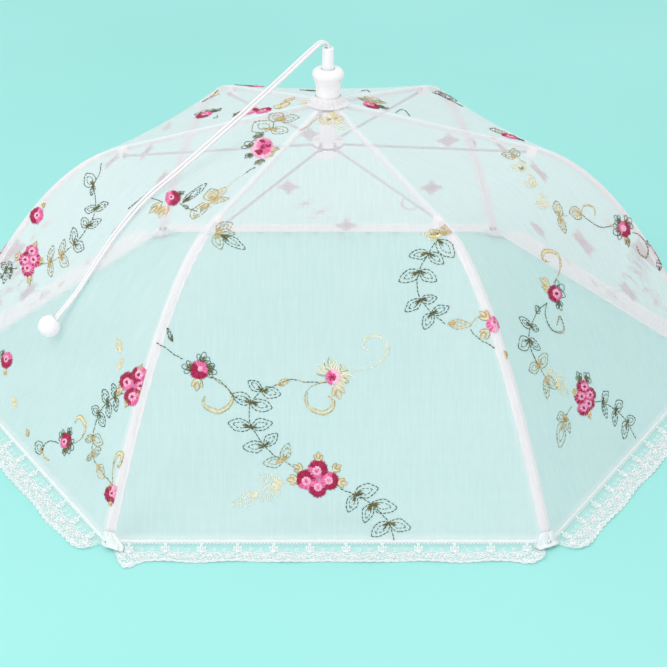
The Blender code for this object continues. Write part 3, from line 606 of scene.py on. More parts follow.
stem_profile += [(STEM_BORE, stem_low.z), stem_profile[0]]
stem = turned("press_stem", stem_profile, WHITE_PLASTIC)
for piece in (knob, stem):
    print(piece.name, [round(side / MM, 1) for side in piece.dimensions], "mm")

# %% The cord inside the stem
KNOT_LOOP = 1.798 * MM
KNOT_HEIGHT = 197.8 * MM
KNOT_WAVE = 1.4 * MM
KNOT_TURNS = 3

inner_top = CORD_MOUTH[2] + 0.3 * MM
inner_heights = np.linspace(inner_top, KNOT_HEIGHT, 60)
inner_paths = [
    [CORD_SIDE * sign * CORD_INNER_OFFSET + UP * height for height in inner_heights]
    for sign in (1, -1)
]
inner_cord = grow("cord_inside_stem", LAID_CORD, path_mesh(inner_paths), CORD_WHITE)
knot_angles = np.linspace(0, KNOT_TURNS * math.tau, 90)
knot_heights = KNOT_HEIGHT - KNOT_WAVE * np.sin(knot_angles * 2 / KNOT_TURNS)
knot_loops = [KNOT_LOOP * np.cos(knot_angles), KNOT_LOOP * np.sin(knot_angles), knot_heights]
knot = grow("stopper_knot", LAID_CORD, path_mesh([np.stack(knot_loops, axis=1)]), CORD_WHITE)
print("inner cord faces:", len(inner_cord.data.polygons), "knot faces:", len(knot.data.polygons))

# %% [markdown]
# ## The shape of the net
#
# Each gore is a panel of net stretched between two ribs. Above a rib the net
# follows the wire, and between the ribs it dips a little under its own
# tension, most at mid height. `on_net` turns a place on a panel, its share
# across and its share down, into a point in space. Everything that is sewn to
# the net asks the same function for its place, so nothing floats off it.

# %% The line above a rib
RIB_COUNT = 6
GORE_ANGLE = math.tau / RIB_COUNT
HALF_GORE = GORE_ANGLE / 2
HINGE = np.array([10.0, 240.4]) * MM
KNEE = np.array([171.0, 202.0]) * MM
FOOT = np.array([325.0, 5.0]) * MM
KNEE_SLOPE = math.radians(14)
FOOT_SLOPE = math.radians(65)
KNEE_REACH = 72 * MM
FOOT_REACH = 68 * MM
CROWN_LIFT = 3.9 * MM
NET_LIFT = 3.1 * MM
NET_START = 8.3 * MM
HEM_HEIGHT = 4.6 * MM
SAG_SHARE = 0.02
UPPER_SLOPE = math.atan2(HINGE[1] - KNEE[1], KNEE[0] - HINGE[0])


def downhill(slope):
    return np.array([np.cos(slope), -np.sin(slope)])


def lower_rib(t):
    """Points and slopes of the curved lower rib, at shares t from knee to foot."""
    t = np.asarray(t, float)[:, None]
    a, b = KNEE, KNEE + KNEE_REACH * downhill(KNEE_SLOPE)
    c, d = FOOT - FOOT_REACH * downhill(FOOT_SLOPE), FOOT
    rest = 1 - t
    points = rest**3 * a + 3 * rest**2 * t * b + 3 * rest * t**2 * c + t**3 * d
    ways = rest**2 * (b - a) + 2 * rest * t * (c - b) + t**2 * (d - c)
    return points, np.arctan2(-ways[:, 1], ways[:, 0])


def lifted(points, slopes, lift):
    return points + lift * np.stack([np.sin(slopes), np.cos(slopes)], axis=1)


def net_line():
    upper = np.array([UPPER_SLOPE])
    first = lifted(HINGE[None], upper, CROWN_LIFT)[0]
    last = lifted(KNEE[None], upper, NET_LIFT)[0]
    inner = first + (last - first) * (NET_START - first[0]) / (last[0] - first[0])
    straight = inner + (last - inner) * np.linspace(0, 1, 60, endpoint=False)[:, None]
    curved = lifted(*lower_rib(np.linspace(0, 1, 200)), NET_LIFT)
    drop = curved[-1, 1] - HEM_HEIGHT
    end = curved[-1] + drop * np.array([1 / math.tan(FOOT_SLOPE), -1.0])
    return np.concatenate([straight, curved, [end]])


NET_LINE = net_line()
line_runs = runs(NET_LINE)
RIB_LENGTH = float(line_runs[-1])
NET_SHARES = line_runs / RIB_LENGTH
NET_SLOPES = np.arctan2(
    -np.gradient(NET_LINE[:, 1], line_runs),
    np.gradient(NET_LINE[:, 0], line_runs) * math.cos(HALF_GORE),
)
print("net above a rib:", round(RIB_LENGTH / MM, 1), "mm")


# %% From a place on a gore to a point in space


def net_radius(down):
    return np.interp(down, NET_SHARES, NET_LINE[:, 0])


def out_from_axis(gore, out, side, height):
    """Points so far out along the middle of a gore, so far sideways, and so high."""
    turn = GORE_ANGLE * (gore - 1) + HALF_GORE
    x = out * math.cos(turn) - side * math.sin(turn)
    y = out * math.sin(turn) + side * math.cos(turn)
    return np.stack([x, y, height], axis=-1)


def on_net(gore, across, down, lift=0.0):
    """Points on a gore: across 0 at its first rib and 1 at the next, down 0 at the crown."""
    across, down, lift = np.broadcast_arrays(across, down, np.asarray(lift, float))
    down = np.clip(down, 0.0, 1.0)
    radius = net_radius(down)
    height = np.interp(down, NET_SHARES, NET_LINE[:, 1])
    slope = np.interp(down, NET_SHARES, NET_SLOPES)
    share = 1 - np.abs(2 * across - 1)
    dip = SAG_SHARE * radius * np.sin(np.pi * down) * share * (2 - share) - lift
    out = radius * math.cos(HALF_GORE) - dip * np.sin(slope)
    side = (2 * across - 1) * radius * math.sin(HALF_GORE)
    return out_from_axis(gore, out, side, height - dip * np.cos(slope))


middle_marks = np.linspace(0, 1, 600)
middle_line = on_net(1, 0.5, middle_marks)
middle_runs = runs(middle_line)
GORE_LENGTH = float(middle_runs[-1])
print("net down the middle of a gore:", round(GORE_LENGTH / MM, 1), "mm")


def on_gore(gore, spots, lift=0.0):
    """Points for spots in a gore's own plan: x to the right and y down its middle, in mm."""
    spots = np.asarray(spots, complex) * MM
    down = np.interp(spots.imag, middle_runs, middle_marks)
    return on_net(gore, 0.5 + spots.real / net_radius(down), down, lift)


# %% [markdown]
# ## Placing the pieces on the gores
#
# As the cover closes, each rib swings down and each gore folds along its middle. `fold_with_gore` only
# bakes a piece's placement into its mesh; it ties the piece to no body.


def fold_with_gore(piece):
    """Bakes a piece's placement into its mesh, and returns it."""
    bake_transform(piece)
    return piece


# %% [markdown]
# ## The net finish
#
# The cover is a fine polyester net. Up close it is a grid of white threads with
# open holes, and from across a room it reads as a pale veil. Two sine waves in
# the cloth's own coordinates make the grid, a slow noise lets the weave
# wander, and streaks along the warp make it denser here and there. The pattern
# drives Alpha, so the mint table shows through the holes.

# %% Net finish
NET_PITCH = 0.8 * MM
HOLE_COVER, THREAD_COVER, DOUBLED_COVER = 0.32, 0.16, 0.20


def net_finish():
    bench = Finish("white_net")
    along, down = bench.cloth()
    doubled = bench.attribute("doubled", "Fac")
    place = bench.vector(along, down)
    wander = bench.noise(35, where=place) * 0.5
    warp = ((along / NET_PITCH + wander) * math.tau).sine()
    weft = ((down / NET_PITCH + wander) * math.tau).sine()
    grid = warp.largest(weft).ramp(0.1, 0.9)
    streak = bench.noise(55, detail=4.0, where=bench.vector(along * 9, down * 0.7))
    cloud = bench.noise(14, where=place)
    body = grid * THREAD_COVER + HOLE_COVER
    slubs = streak.ramp(0.45, 0.72) * 0.015 + (cloud - 0.5) * 0.10
    alpha = (body + slubs + doubled * DOUBLED_COVER).held()
    tone = bench.mix(streak.ramp(0.3, 0.7), (0.955, 0.925, 0.95), (0.975, 0.96, 0.975))
    return bench.surface(
        Base_Color=tone,
        Roughness=streak * 0.2 + 0.6,
        Alpha=alpha,
        Normal=bench.bump(grid, 0.1 * MM, 0.3),
    )


WHITE_NET = net_finish()

# %% Make the net
NET_ROWS = 120
NET_COLUMNS = 24
ALLOWANCE = 4.5 * MM
SEAM_ALLOWANCE = 2.8 * MM
HALF_SPANS = {"a": (0.0, 0.5), "b": (0.5, 1.0)}


def doubled_share(across, down):
    """1 where the net is turned under at a seam or at the hem, else 0."""
    to_rib = net_radius(down) / 2 * (1 - np.abs(2 * across - 1))
    to_hem = (1 - down) * RIB_LENGTH
    near = np.minimum(to_rib / SEAM_ALLOWANCE, to_hem / ALLOWANCE)
    return np.clip(1.5 - near, 0, 1)


nets = {}
for gore in range(1, RIB_COUNT + 1):
    for half, (first, last) in HALF_SPANS.items():
        down, share = np.meshgrid(
            np.linspace(0, 1, NET_ROWS), np.linspace(0, 1, NET_COLUMNS), indexing="ij"
        )
        across = first + (last - first) * (1 - np.cos(share * np.pi / 2))
        flat = [(across - 0.5) * net_radius(down), np.interp(down, middle_marks, middle_runs)]
        mesh = sheet_mesh("net", on_net(gore, across, down), uv=np.stack(flat, axis=-1))
        doubled = mesh.attributes.new("doubled", "FLOAT", "POINT")
        doubled.data.foreach_set("value", doubled_share(across, down).ravel())
        piece = add_piece(f"net_{gore}{half}", mesh, WHITE_NET)
        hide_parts(f"gore_{gore}{half}")
        nets[gore, half] = fold_with_gore(piece)

# %% [markdown]
# ## Machine embroidery
#
# Roses, leaves and curls are sewn on the net with shiny rayon thread. The
# pattern is the common cottage one: satin-stitched roses, leaves drawn with a
# dashed running stitch, and gold curls. Every stitch is its own short length of
# thread that dives into the net at both ends. `Needlework` collects the
# stitches of one gore as places on its plan, in mm, where a complex number holds
# x and y, because turning and scaling are then plain sums.

# %% Thread colours


def colour_of(code):
    """A hexadecimal screen colour as the linear one that shaders work in."""
    shares = [int(code[i : i + 2], 16) / 255 for i in (0, 2, 4)]
    return [x / 12.92 if x <= 0.04045 else ((x + 0.055) / 1.055) ** 2.4 for x in shares]


BERRY = ("b0124e", "bd1c5a", "98093c")
PINK = ("ee72ab", "e85f9e", "f48cbb")
PALE_PINK = ("fdd6e8", "fcc9e0", "fbbdd9")
LEAF_DARK = ("4f5d4a", "5e6b55", "455142", "68694a")
OLIVE = ("6a5f2c", "564f28", "7d7236")
GOLD = ("d4b878", "c2a668", "e1ca92")
AMBER = ("dcab52", "cc9a42", "e6c074")
MOSS = ("a09a66", "b3a872", "8b865a", "c2b280")
CREAM = ("f5edc2", "f2e6b2", "f8f1d4")
IVORY = ("f3f5de", "ecf0d4", "f9fbec")

# %% Collect stitches
THREAD_RADIUS = 0.3
STITCH_POINTS = np.array([0.0, 0.22, 0.78, 1.0])
STITCH_TAPER = np.array([0.45, 1.0, 1.0, 0.45])
STITCH_RISE = np.array([-0.15, 0.28, 0.28, -0.15])
SEAM_MARGIN = 0.3


def direction(spot):
    return spot / max(abs(spot), 1e-9)


class Needlework:
    """The stitches of one gore."""

    def __init__(self, gore, seed):
        self.gore = gore
        self.mirrored = False
        self.chance = random.Random(seed)
        self.stitches, self.colours, self.sizes, self.rises = [], [], [], []

    def lay(self, points, colours, size=1.0, rise=1.0):
        """One stitch through four points."""
        colour = colour_of(self.chance.choice(colours))
        tint = self.chance.uniform(0.88, 1.08)
        self.stitches.append(-np.conj(points) if self.mirrored else points)
        self.colours.append([min(1.0, share * tint) for share in colour])
        self.sizes.append(size * THREAD_RADIUS * self.chance.uniform(0.88, 1.12))
        self.rises.append(rise * self.chance.uniform(0.7, 1.25))

    def straight(self, start, end, colours, size=1.0, rise=1.0):
        self.lay(start + (end - start) * STITCH_POINTS, colours, size, rise)

    def along(self, path, colours, stitch=2.4, gap=0.8, size=1.0, rise=1.0, sway=0.12):
        """Stitches that follow a path, with a gap between them, or an overlap."""
        run = runs(path)
        step = stitch + gap
        count = max(1, round((run[-1] + gap) / step))
        scale = run[-1] / max(count * step - gap, 1e-6)
        for k in range(count):
            marks = (k * step + stitch * STITCH_POINTS) * scale
            spots = np.interp(marks, run, path.real) + 1j * np.interp(marks, run, path.imag)
            shift = complex(self.chance.uniform(-sway, sway), self.chance.uniform(-sway, sway))
            self.lay(spots + shift, colours, size, rise)

    def line(self, points, colours=LEAF_DARK, **how):
        how = {"stitch": 2.6, "gap": 0.5, "size": 1.3, "sway": 0.25, **how}
        self.along(smooth(points, 0.4), colours, **how)

    def leaf(self, root, tip, colours=LEAF_DARK, width=0.28, roots=OLIVE, fill=None):
        """A pointed leaf in running stitch, with shorter rows inside it."""
        span = tip - root
        t = np.linspace(0, 1, 24)
        shape = 1j * span * width * np.sin(np.pi * t**0.85) ** 0.75
        bulges = [sign * shape * self.chance.uniform(0.88, 1.14) for sign in (1, -1)]
        for bulge in bulges:
            ripple = 1 + 0.05 * np.sin(11 * t + self.chance.uniform(0, 6))
            for k in range(3, 21, 2) if fill else ():
                start, end = root + span * t[k - 2], root + span * t[k] + bulge[k] * 0.9
                self.straight(start, end, fill, 0.8, 0.6)
            self.along(root + span * t + bulge * ripple, colours, 2.5, 0.6, 1.3, sway=0.22)
            if abs(span) > 7:
                inner = root + span * (0.14 + 0.62 * t) + bulge * 0.45
                self.along(inner[2:], colours, 1.9, 0.9, 1.0, sway=0.25)
        for k in range(8):
            reach = span * self.chance.uniform(0.2, 0.42)
            sway = 1j * span * self.chance.uniform(-0.13, 0.13)
            self.straight(root - 0.05 * span, root + reach + sway, roots, 1.05, 1.3)

    def tuft(self, base, tip, colours=AMBER, second=CREAM):
        """Three narrow sepals side by side, each an outline with a pale filling."""
        span = tip - base
        for turn, share in ((-0.55, 0.8), (0.55, 0.8), (0.0, 1.0)):
            arm = span * share * np.exp(1j * turn)
            for side in (0.21, -0.21):
                bend = np.array([0, 0.35 + side * 1j, 0.75 + side * 0.75j, 1])
                self.lay(base + arm * bend, colours + MOSS[:1], 1.1, 1.3)
                self.straight(base, base + arm * (0.85 + side * 0.35j), second, 1.0, 0.9)

    def loops(self, base, tip):
        """Three small green loops side by side."""
        span = tip - base
        for turn in (-0.75, 0, 0.75):
            arm = span * np.exp(1j * turn) * (1.0 if turn == 0 else 0.85)
            t = np.linspace(0, 1, 16)
            ring = arm * (0.55 - 0.45 * np.cos(math.tau * t)) + 1j * arm * 0.26 * np.sin(math.tau * t)
            self.along(base + ring, LEAF_DARK, 1.8, 0.1, 1.05)
            for side in (-0.1, 0.0, 0.1):
                self.straight(base, base + arm * (0.6 + side + side * 1j), OLIVE, 1.0, 1.3)

    def petals(self, centre, radius, tips):
        """Green loops that stand out round a rose."""
        for tip in tips:
            way = direction(tip - centre)
            reach = max(abs(tip - centre), radius + 4.5)
            self.loops(centre + way * radius * 0.75, centre + way * reach)

    def rose(
        self, centre, radius, face, stretch=1.0,
        heart=BERRY, edge=BERRY, back=PINK, cup=0.45, rim=PALE_PINK,
    ):
        """A satin rose: raspberry on the side it faces, pink behind, and a pale cup in the middle.

        face is an angle. stretch says how much longer it is than wide, and in which direction.
        """
        longer = direction(stretch)

        def spot(angle, reach, middle=0j):
            way = middle + reach * np.exp(1j * angle)
            return centre + radius * (way + (abs(stretch) - 1) * (way * np.conj(longer)).real * longer)

        count = int(radius * 9)
        low = -0.14 * np.exp(1j * face)
        for k in range(count):
            angle = math.tau * k / count
            off = abs((angle - face + math.pi) % math.tau - math.pi)
            wave = 1 + 0.02 * math.sin(7 * angle + face) + self.chance.uniform(-0.1, 0.05)
            shade = edge if off < 1.85 + self.chance.uniform(-0.2, 0.2) else back
            self.straight(spot(angle, 0.1), spot(angle, wave), shade, 1.2, 1.2)
        for k in range(int(count * 0.7)):
            angle = math.tau * k / (count * 0.7)
            ragged = cup * self.chance.uniform(0.92, 1.06)
            shade = PINK if k % 5 == 2 else rim
            self.straight(spot(angle, 0.05, low), spot(angle, ragged, low), shade, 1.1, 2.0)
        for k in range(7):
            place = (k / 6 - 0.5) * 2
            half = cup * 0.42 * math.sqrt(max(0.1, 1 - place**2))
            middle = low + cup * 0.34 * place * np.exp(1j * face)
            start, end = spot(face + math.pi / 2, half, middle), spot(face - math.pi / 2, half, middle)
            self.straight(start, end, heart, 1.0, 3.0)

    def satin(self, first, last, first_end, last_end, count, colours=BERRY):
        """A patch of close rows, from the edge first–last to the edge first_end–last_end."""
        for share in np.linspace(0, 1, count):
            start = first + (last - first) * share
            end = first_end + (last_end - first_end) * share
            ragged = (end - start) * self.chance.uniform(-0.12, 0.06)
            self.straight(start, end + ragged, colours, 1.2, 3.2)

    def cluster(self, spots, radii, faces, tips, stretch=1.0, **looks):
        """A few roses sewn against each other, with sepals round the bunch."""
        middle = sum(spots) / len(spots)
        for tip in tips:
            self.tuft(middle + (tip - middle) * 0.62, tip)
        for centre, radius, face in zip(spots, np.broadcast_to(radii, len(spots)), faces):
            self.rose(centre, radius, face, stretch, **looks)

    def daisy(self, spot, reach=11.5):
        """A small rose with four sepals, as the far gores show it through the near ones."""
        for k in range(4):
            self.tuft(spot + reach * 0.45 * 1j**k, spot + reach * 1j**k)
        self.rose(spot, reach * 0.6, 0.8)

    def curl(self, points, colours=GOLD + MOSS[:2], fill=CREAM, width=3.0):
        """A gold scroll whose far end is a doubled line with a cream filling."""
        path = smooth(points, 0.4)
        t = np.linspace(0, 1, len(path))
        ways = np.gradient(path)
        ways = ways / np.maximum(np.abs(ways), 1e-9)
        inside = 1 if np.sum(np.imag(np.conj(ways[:-1]) * ways[1:])) > 0 else -1
        offset = 1j * inside * ways * width * np.sin(np.pi * t**1.7) ** 0.8
        self.along(path, colours, 2.4, 0.4, 1.2, sway=0.2)
        self.along((path + offset)[len(path) // 4 :], colours, 2.2, 0.6, 1.0, sway=0.2)
        for k in range(len(path) // 3, len(path) - 2, 2):
            self.straight(path[k], path[k + 1] + offset[k] * 0.95, fill, 1.0, 0.5)

    def sprig(self, nodes, leaves, colours=LEAF_DARK, roots=OLIVE, fill=None, reach=1.0):
        """A stem through nodes, with a leaf out to each tip of its node."""
        self.line(nodes, colours + OLIVE[:1])
        for node, tips in zip(nodes, leaves):
            for tip in tips:
                self.leaf(node, node + (tip - node) * reach, colours, roots=roots, fill=fill)

    def arrays(self):
        """Places, sizes, rises and colours of all stitches, cut off at the seams."""
        places = np.array(self.stitches)
        down = np.interp(places.imag * MM, middle_runs, middle_marks)
        limit = net_radius(down) / (2 * MM) - SEAM_MARGIN
        inside = (np.abs(places.real) < limit).sum(axis=1) >= 2
        inside &= (places.imag > 1.0).all(axis=1)
        places = np.clip(places.real, -limit, limit) + 1j * places.imag
        return [np.array(values)[inside] for values in (places, self.sizes, self.rises, self.colours)]


# %% [markdown]
# ## Where the flowers are
#
# Such net is sewn as yardage and cut afterwards, so each gore shows another
# stretch of the pattern and the seams cut some roses in half. The places on the
# three near gores follow the photograph: they were read off it and turned into
# mm on the flat gore through the camera above. Of the far gores only faint
# spots show through the net, so two of them carry the left gore's flowers
# again, and most of their other flowers are guessed.

# %% The front gore


def front_flowers(work):
    work.petals(-95 + 265j, 7.5, (-108 + 262j, -91 + 252j, -82 + 267j, -84 + 261j))
    work.tuft(-96 + 271j, -97 + 281j)
    work.rose(-95 + 265j, 7.6, 2.3, heart=PALE_PINK, cup=0.27)
    work.line((-127 + 245j, -120 + 249j, -113 + 254j, -107 + 257j))
    work.line((-87 + 270j, -80 + 273j, -75 + 278j, -69 + 285j), OLIVE)
    scroll = (
        -84 + 272j, -75 + 278j, -70 + 284j, -72 + 292j, -80 + 297j, -88 + 295j, -93 + 290j, -91 + 284j,
    )
    work.curl(scroll)
    nodes = (-49 + 280j, -57 + 289j, -58 + 297j, -57 + 307j, -53 + 312j, -47 + 321j, -40 + 328j)
    tips = (
        (-59 + 273j, -35 + 283j), (-71 + 283j, -41 + 293j), (), (-74 + 304j, -41 + 304j), (),
        (-63 + 322j, -37 + 312j),
    )
    work.sprig(nodes, tips)
    work.line((-69 + 285j, -57 + 289j), OLIVE)
    work.sprig((-40 + 328j, -33 + 332j, -25 + 337j), ((), (-29 + 319j, -48 + 334j)), MOSS, GOLD)
    work.line((-49 + 280j, -40 + 277j, -31 + 273j, -24 + 272j, -16 + 274j, -1 + 274j), OLIVE + GOLD[:1])
    work.leaf(-37 + 276j, -28 + 272j, GOLD, 0.2, GOLD, CREAM)
    for tip in (-9 + 261j, 1 + 255j, 14 + 261j, 19 + 270j, 13 + 277j):
        work.tuft(4 + 270j + 4 * direction(tip - 4 - 270j), tip, IVORY, CREAM)
    work.tuft(6 + 276j, 9 + 287j)
    work.rose(4 + 270j, 6.4, -0.2, edge=PALE_PINK, cup=0.55, rim=BERRY + PINK[:2])
    work.curl((-3 + 274j, -12 + 277j, -17 + 284j, -15 + 293j, -5 + 298j, 3 + 295j, 5 + 288j, 0 + 284j))
    pale = (15 + 267j, 32 + 263j, 42 + 256j, 45 + 247j, 37 + 239j, 28 + 241j, 25 + 247j, 30 + 251j)
    work.curl(pale, IVORY + CREAM[:1], IVORY, 1.8)
    work.cluster(
        (-7.5 + 338.5j, -16.5 + 346j, 1.5 + 347j, -7.5 + 352.5j),
        (7.9, 7.9, 7.2, 7.2), (-0.9, -1.9, 0.5, 1.7),
        (-7 + 325j, -26 + 335j, -31 + 346j, 10 + 335j, 15 + 349j), heart=PINK, cup=0.5, rim=PALE_PINK,
    )
    work.line((-25 + 347j, -36 + 349j, -50 + 354j, -62 + 360j), IVORY)
    work.leaf(-34 + 349j, -52 + 343j, IVORY, 0.24, CREAM[:1], IVORY)
    work.leaf(-36 + 351j, -50 + 361j, IVORY, 0.3, CREAM, IVORY)
    work.leaf(-52 + 356j, -71 + 366j, IVORY, 0.22, CREAM, IVORY)
    nodes = (9 + 353j, 20 + 357j, 32 + 364j, 45 + 378j, 49 + 391j)
    tips = ((), (37 + 352j, 15 + 370j), (51 + 367j, 27 + 378j), (61 + 382j, 32 + 388j))
    work.sprig(nodes, tips)
    upper_right_sprig(work)
    work.rose(124 + 231j, 7.4, 0.5, edge=PINK[:1] + PALE_PINK, heart=PINK)
    work.tuft(119 + 228j, 112 + 222j)
    work.tuft(119 + 236j, 112 + 242j)


def upper_right_sprig(work):
    work.leaf(86 + 162j, 92 + 152j, GOLD, 0.4, GOLD, GOLD)
    work.leaf(84 + 163j, 71 + 160j, CREAM, 0.3, CREAM, CREAM)
    work.tuft(84 + 164j, 76 + 156j, GOLD, CREAM)
    work.leaf(82 + 166j, 94 + 181j, OLIVE, 0.3)
    work.petals(83 + 165j, 4.0, (80 + 158j,))
    nodes = (80 + 168j, 75 + 177j, 70 + 186j, 68 + 191j, 66 + 202j, 69 + 213j, 77 + 223j, 87 + 231j)
    tips = (
        (), (58 + 179j, 88 + 187j), (), (50 + 200j, 83 + 200j), (),
        (55 + 223j, 83 + 211j), (92 + 218j, 70 + 237j),
    )
    work.sprig(nodes, tips, reach=0.86)
    work.leaf(89 + 231j, 106 + 232j, GOLD, 0.2, GOLD, CREAM)
    work.line((105 + 235j, 110 + 241j, 118 + 246j, 123 + 249j), OLIVE)
    work.line((106 + 231j, 111 + 226j, 117 + 226j, 121 + 232j), GOLD)


def crown_motifs(work):
    work.leaf(3 + 20j, -8 + 25j, CREAM, 0.35, MOSS[:2], CREAM)
    work.leaf(5 + 20j, 13 + 18j, CREAM, 0.4, MOSS[:2], CREAM)
    work.leaf(6 + 23j, 13 + 34j, CREAM, 0.3, CREAM)
    work.leaf(2 + 18j, 6 + 10j, CREAM, 0.3, CREAM, CREAM)
    work.line((-22 + 35j, -15 + 29j, -10 + 21j, -5 + 18j), GOLD)
    work.leaf(-84 + 158j, -72 + 150j, MOSS, 0.3, GOLD)
    work.leaf(-84 + 160j, -70 + 160j, MOSS, 0.26, GOLD)
    work.leaf(-84 + 161j, -80 + 174j, MOSS, 0.3, GOLD)
    work.leaf(-80 + 162j, -62 + 173j, LEAF_DARK, 0.17)
    work.leaf(-115 + 244j, -119 + 234j, LEAF_DARK, 0.14)


# %% The left gore


def left_flowers(work):
    work.cluster(
        (137 + 278j, 114 + 283j, 126 + 273j, 129 + 289j), (6.8, 7.4, 7.4, 7.4), (0.6, 3.6, 2.2, 2.9),
        (124 + 264j, 104 + 296j, 126 + 300j, 139 + 285j), 1.63 - 0.48j,
        rim=PINK[2:] + PALE_PINK, cup=0.55,
    )
    nodes = (116 + 292j, 107 + 299j, 100 + 307j, 94 + 319j, 96 + 332j)
    tips = ((), (96 + 293j, 117 + 307j), (86 + 303j, 111 + 315j), (81 + 320j, 109 + 323j))
    work.sprig(nodes, tips)
    nodes = (96 + 332j, 98 + 337j, 107 + 348j, 123 + 352j, 146 + 353j)
    tips = ((), (90 + 344j, 115 + 335j), (101 + 355j, 115 + 339j))
    work.sprig(nodes, tips, MOSS, GOLD)
    work.leaf(119 + 351j, 134 + 354j, GOLD, 0.3, GOLD)
    work.rose(151 + 359j, 7.2, 2.4, 1.47 - 0.61j, back=PINK + PALE_PINK, cup=0.4)
    work.tuft(150 + 356j, 143 + 356j)
    work.tuft(155 + 362j, 152 + 368j)
    scroll = (
        148 + 352j, 142 + 345j, 138 + 335j, 142 + 328j, 148 + 328j, 150 + 334j, 148 + 339j, 145 + 338j,
    )
    work.curl(scroll)
    work.petals(63 + 357j, 7.0, (50 + 356j, 64 + 345j, 78 + 357j, 69 + 367j))
    work.rose(63 + 357j, 6.8, -1.2, 1.32 - 0.49j)
    work.line((54 + 363j, 44 + 366j, 36 + 372j, 34 + 379j))
    work.curl((76 + 353j, 84 + 344j, 84 + 336j, 78 + 332j, 69 + 332j, 65 + 337j, 67 + 340j))
    work.leaf(36 + 379j, 21 + 379j, OLIVE, 0.35, GOLD)
    work.leaf(8 + 379j, 1 + 376j, GOLD, 0.35, GOLD)
    work.curl((36 + 379j, 42 + 382j, 50 + 380j), GOLD, CREAM, 1.0)
    work.rose(-67 + 345j, 7.2, 1.3, 1.33 - 0.43j)
    work.tuft(-63 + 352j, -60 + 356j)
    work.petals(-69 + 345j, 7.0, (-80 + 343j,))
    work.leaf(88 + 269j, 74 + 264j, CREAM, 0.25, CREAM, CREAM)
    work.leaf(96 + 281j, 94 + 272j, CREAM, 0.3, CREAM, CREAM)
    work.leaf(-36 + 365j, -26 + 369j, CREAM, 0.3, CREAM, CREAM)


def upper_left_motifs(work):
    work.petals(23 + 152j, 6.0, (23 + 143j,))
    work.tuft(20 + 161j, 18 + 174j)
    work.tuft(28 + 160j, 33 + 172j)
    work.rose(23 + 152j, 6.6, -0.7, 1.84 + 0.47j, cup=0.35)
    work.leaf(38 + 150j, 29 + 124j, LEAF_DARK, 0.17)
    work.line((4 + 163j, 11 + 161j, 20 + 160j))
    work.line((-8 + 181j, -6 + 172j, -5 + 158j))
    work.leaf(-1 + 185j, 3 + 174j, LEAF_DARK, 0.3)
    work.line((36 + 152j, 49 + 153j, 47 + 150j, 42 + 152j, 55 + 151j, 61 + 149j), OLIVE)
    work.leaf(68 + 156j, 54 + 140j, MOSS, 0.3, GOLD)
    work.leaf(57 + 134j, 40 + 126j, MOSS, 0.3, GOLD, CREAM)
    work.leaf(57 + 134j, 50 + 117j, GOLD, 0.3, GOLD, CREAM)
    work.leaf(59 + 136j, 68 + 124j, GOLD, 0.3, GOLD, CREAM)
    work.tuft(58 + 137j, 64 + 148j, CREAM, GOLD)
    work.line((52 + 119j, 46 + 106j, 45 + 96j), CREAM)
    work.line((45 + 96j, 44 + 90j, 45 + 87j))
    work.loops(12 + 72j, 1 + 72j)
    work.loops(23 + 78j, 23 + 85j)
    work.tuft(6 + 62j, -4 + 58j, LEAF_DARK, OLIVE)
    work.tuft(36 + 79j, 45 + 83j, LEAF_DARK, OLIVE)
    work.tuft(31 + 66j, 37 + 60j, GOLD, CREAM)
    work.tuft(35 + 70j, 42 + 69j, GOLD, CREAM)
    work.rose(22 + 68j, 9.6, 1.9, 1.92 + 0.72j, edge=PALE_PINK, back=PALE_PINK, cup=0.8, rim=PINK)
    work.satin(9 + 63.5j, 10 + 60.5j, 14 + 65j, 19.5 + 63.5j, 9)
    work.satin(18 + 74j, 23 + 70.5j, 34 + 76.5j, 30 + 71j, 11)
    work.satin(22 + 61j, 23.5 + 60j, 27 + 67.5j, 29 + 65j, 4)
    work.leaf(2 + 48j, -20 + 52j, MOSS, 0.4, GOLD)
    work.leaf(2 + 48j, 19 + 42j, MOSS, 0.3, GOLD)
    work.leaf(-4 + 36j, 6 + 24j, MOSS, 0.4, GOLD)
    work.leaf(-4 + 36j, -20 + 36j, MOSS, 0.4, GOLD)
    work.tuft(-4 + 38j, -8 + 30j, GOLD, GOLD)
    work.cluster(
        (-95 + 258j, -99 + 267j, -85 + 262j, -89 + 272j), 6.2, (2.4, 3.0, 0.2, 1.2),
        (-95 + 248j, -116 + 270j, -77 + 281j, -72 + 258j), 1.65 - 0.39j, edge=BERRY + PINK, cup=0.6,
    )
    nodes = (
        -81 + 166j, -72 + 173j, -67 + 184j, -55 + 190j, -45 + 197j, -41 + 203j, -40 + 212j,
        -40 + 220j, -44 + 230j,
    )
    tips = (
        (), (), (-86 + 180j, -61 + 191j), (), (-35 + 187j, -57 + 203j), (), (-29 + 201j, -53 + 210j),
        (), (-57 + 220j, -28 + 228j),
    )
    work.sprig(nodes, tips)
    nodes = (-44 + 230j, -49 + 238j, -53 + 245j, -64 + 255j, -76 + 262j)
    tips = ((), (), (-60 + 232j, -37 + 247j), (-70 + 242j, -52 + 263j))
    work.sprig(nodes, tips, MOSS, GOLD)
    nodes = (-104 + 277j, -112 + 281j, -119 + 284j, -121 + 293j)
    tips = ((), (-121 + 278j, -109 + 289j), (-130 + 283j, -115 + 296j), (-126 + 291j,))
    work.sprig(nodes, tips)
    work.rose(-112 + 232j, 7.4, 2.6, 1.37 - 0.24j)
    work.tuft(-111 + 224j, -109 + 219j)


# %% The right gore


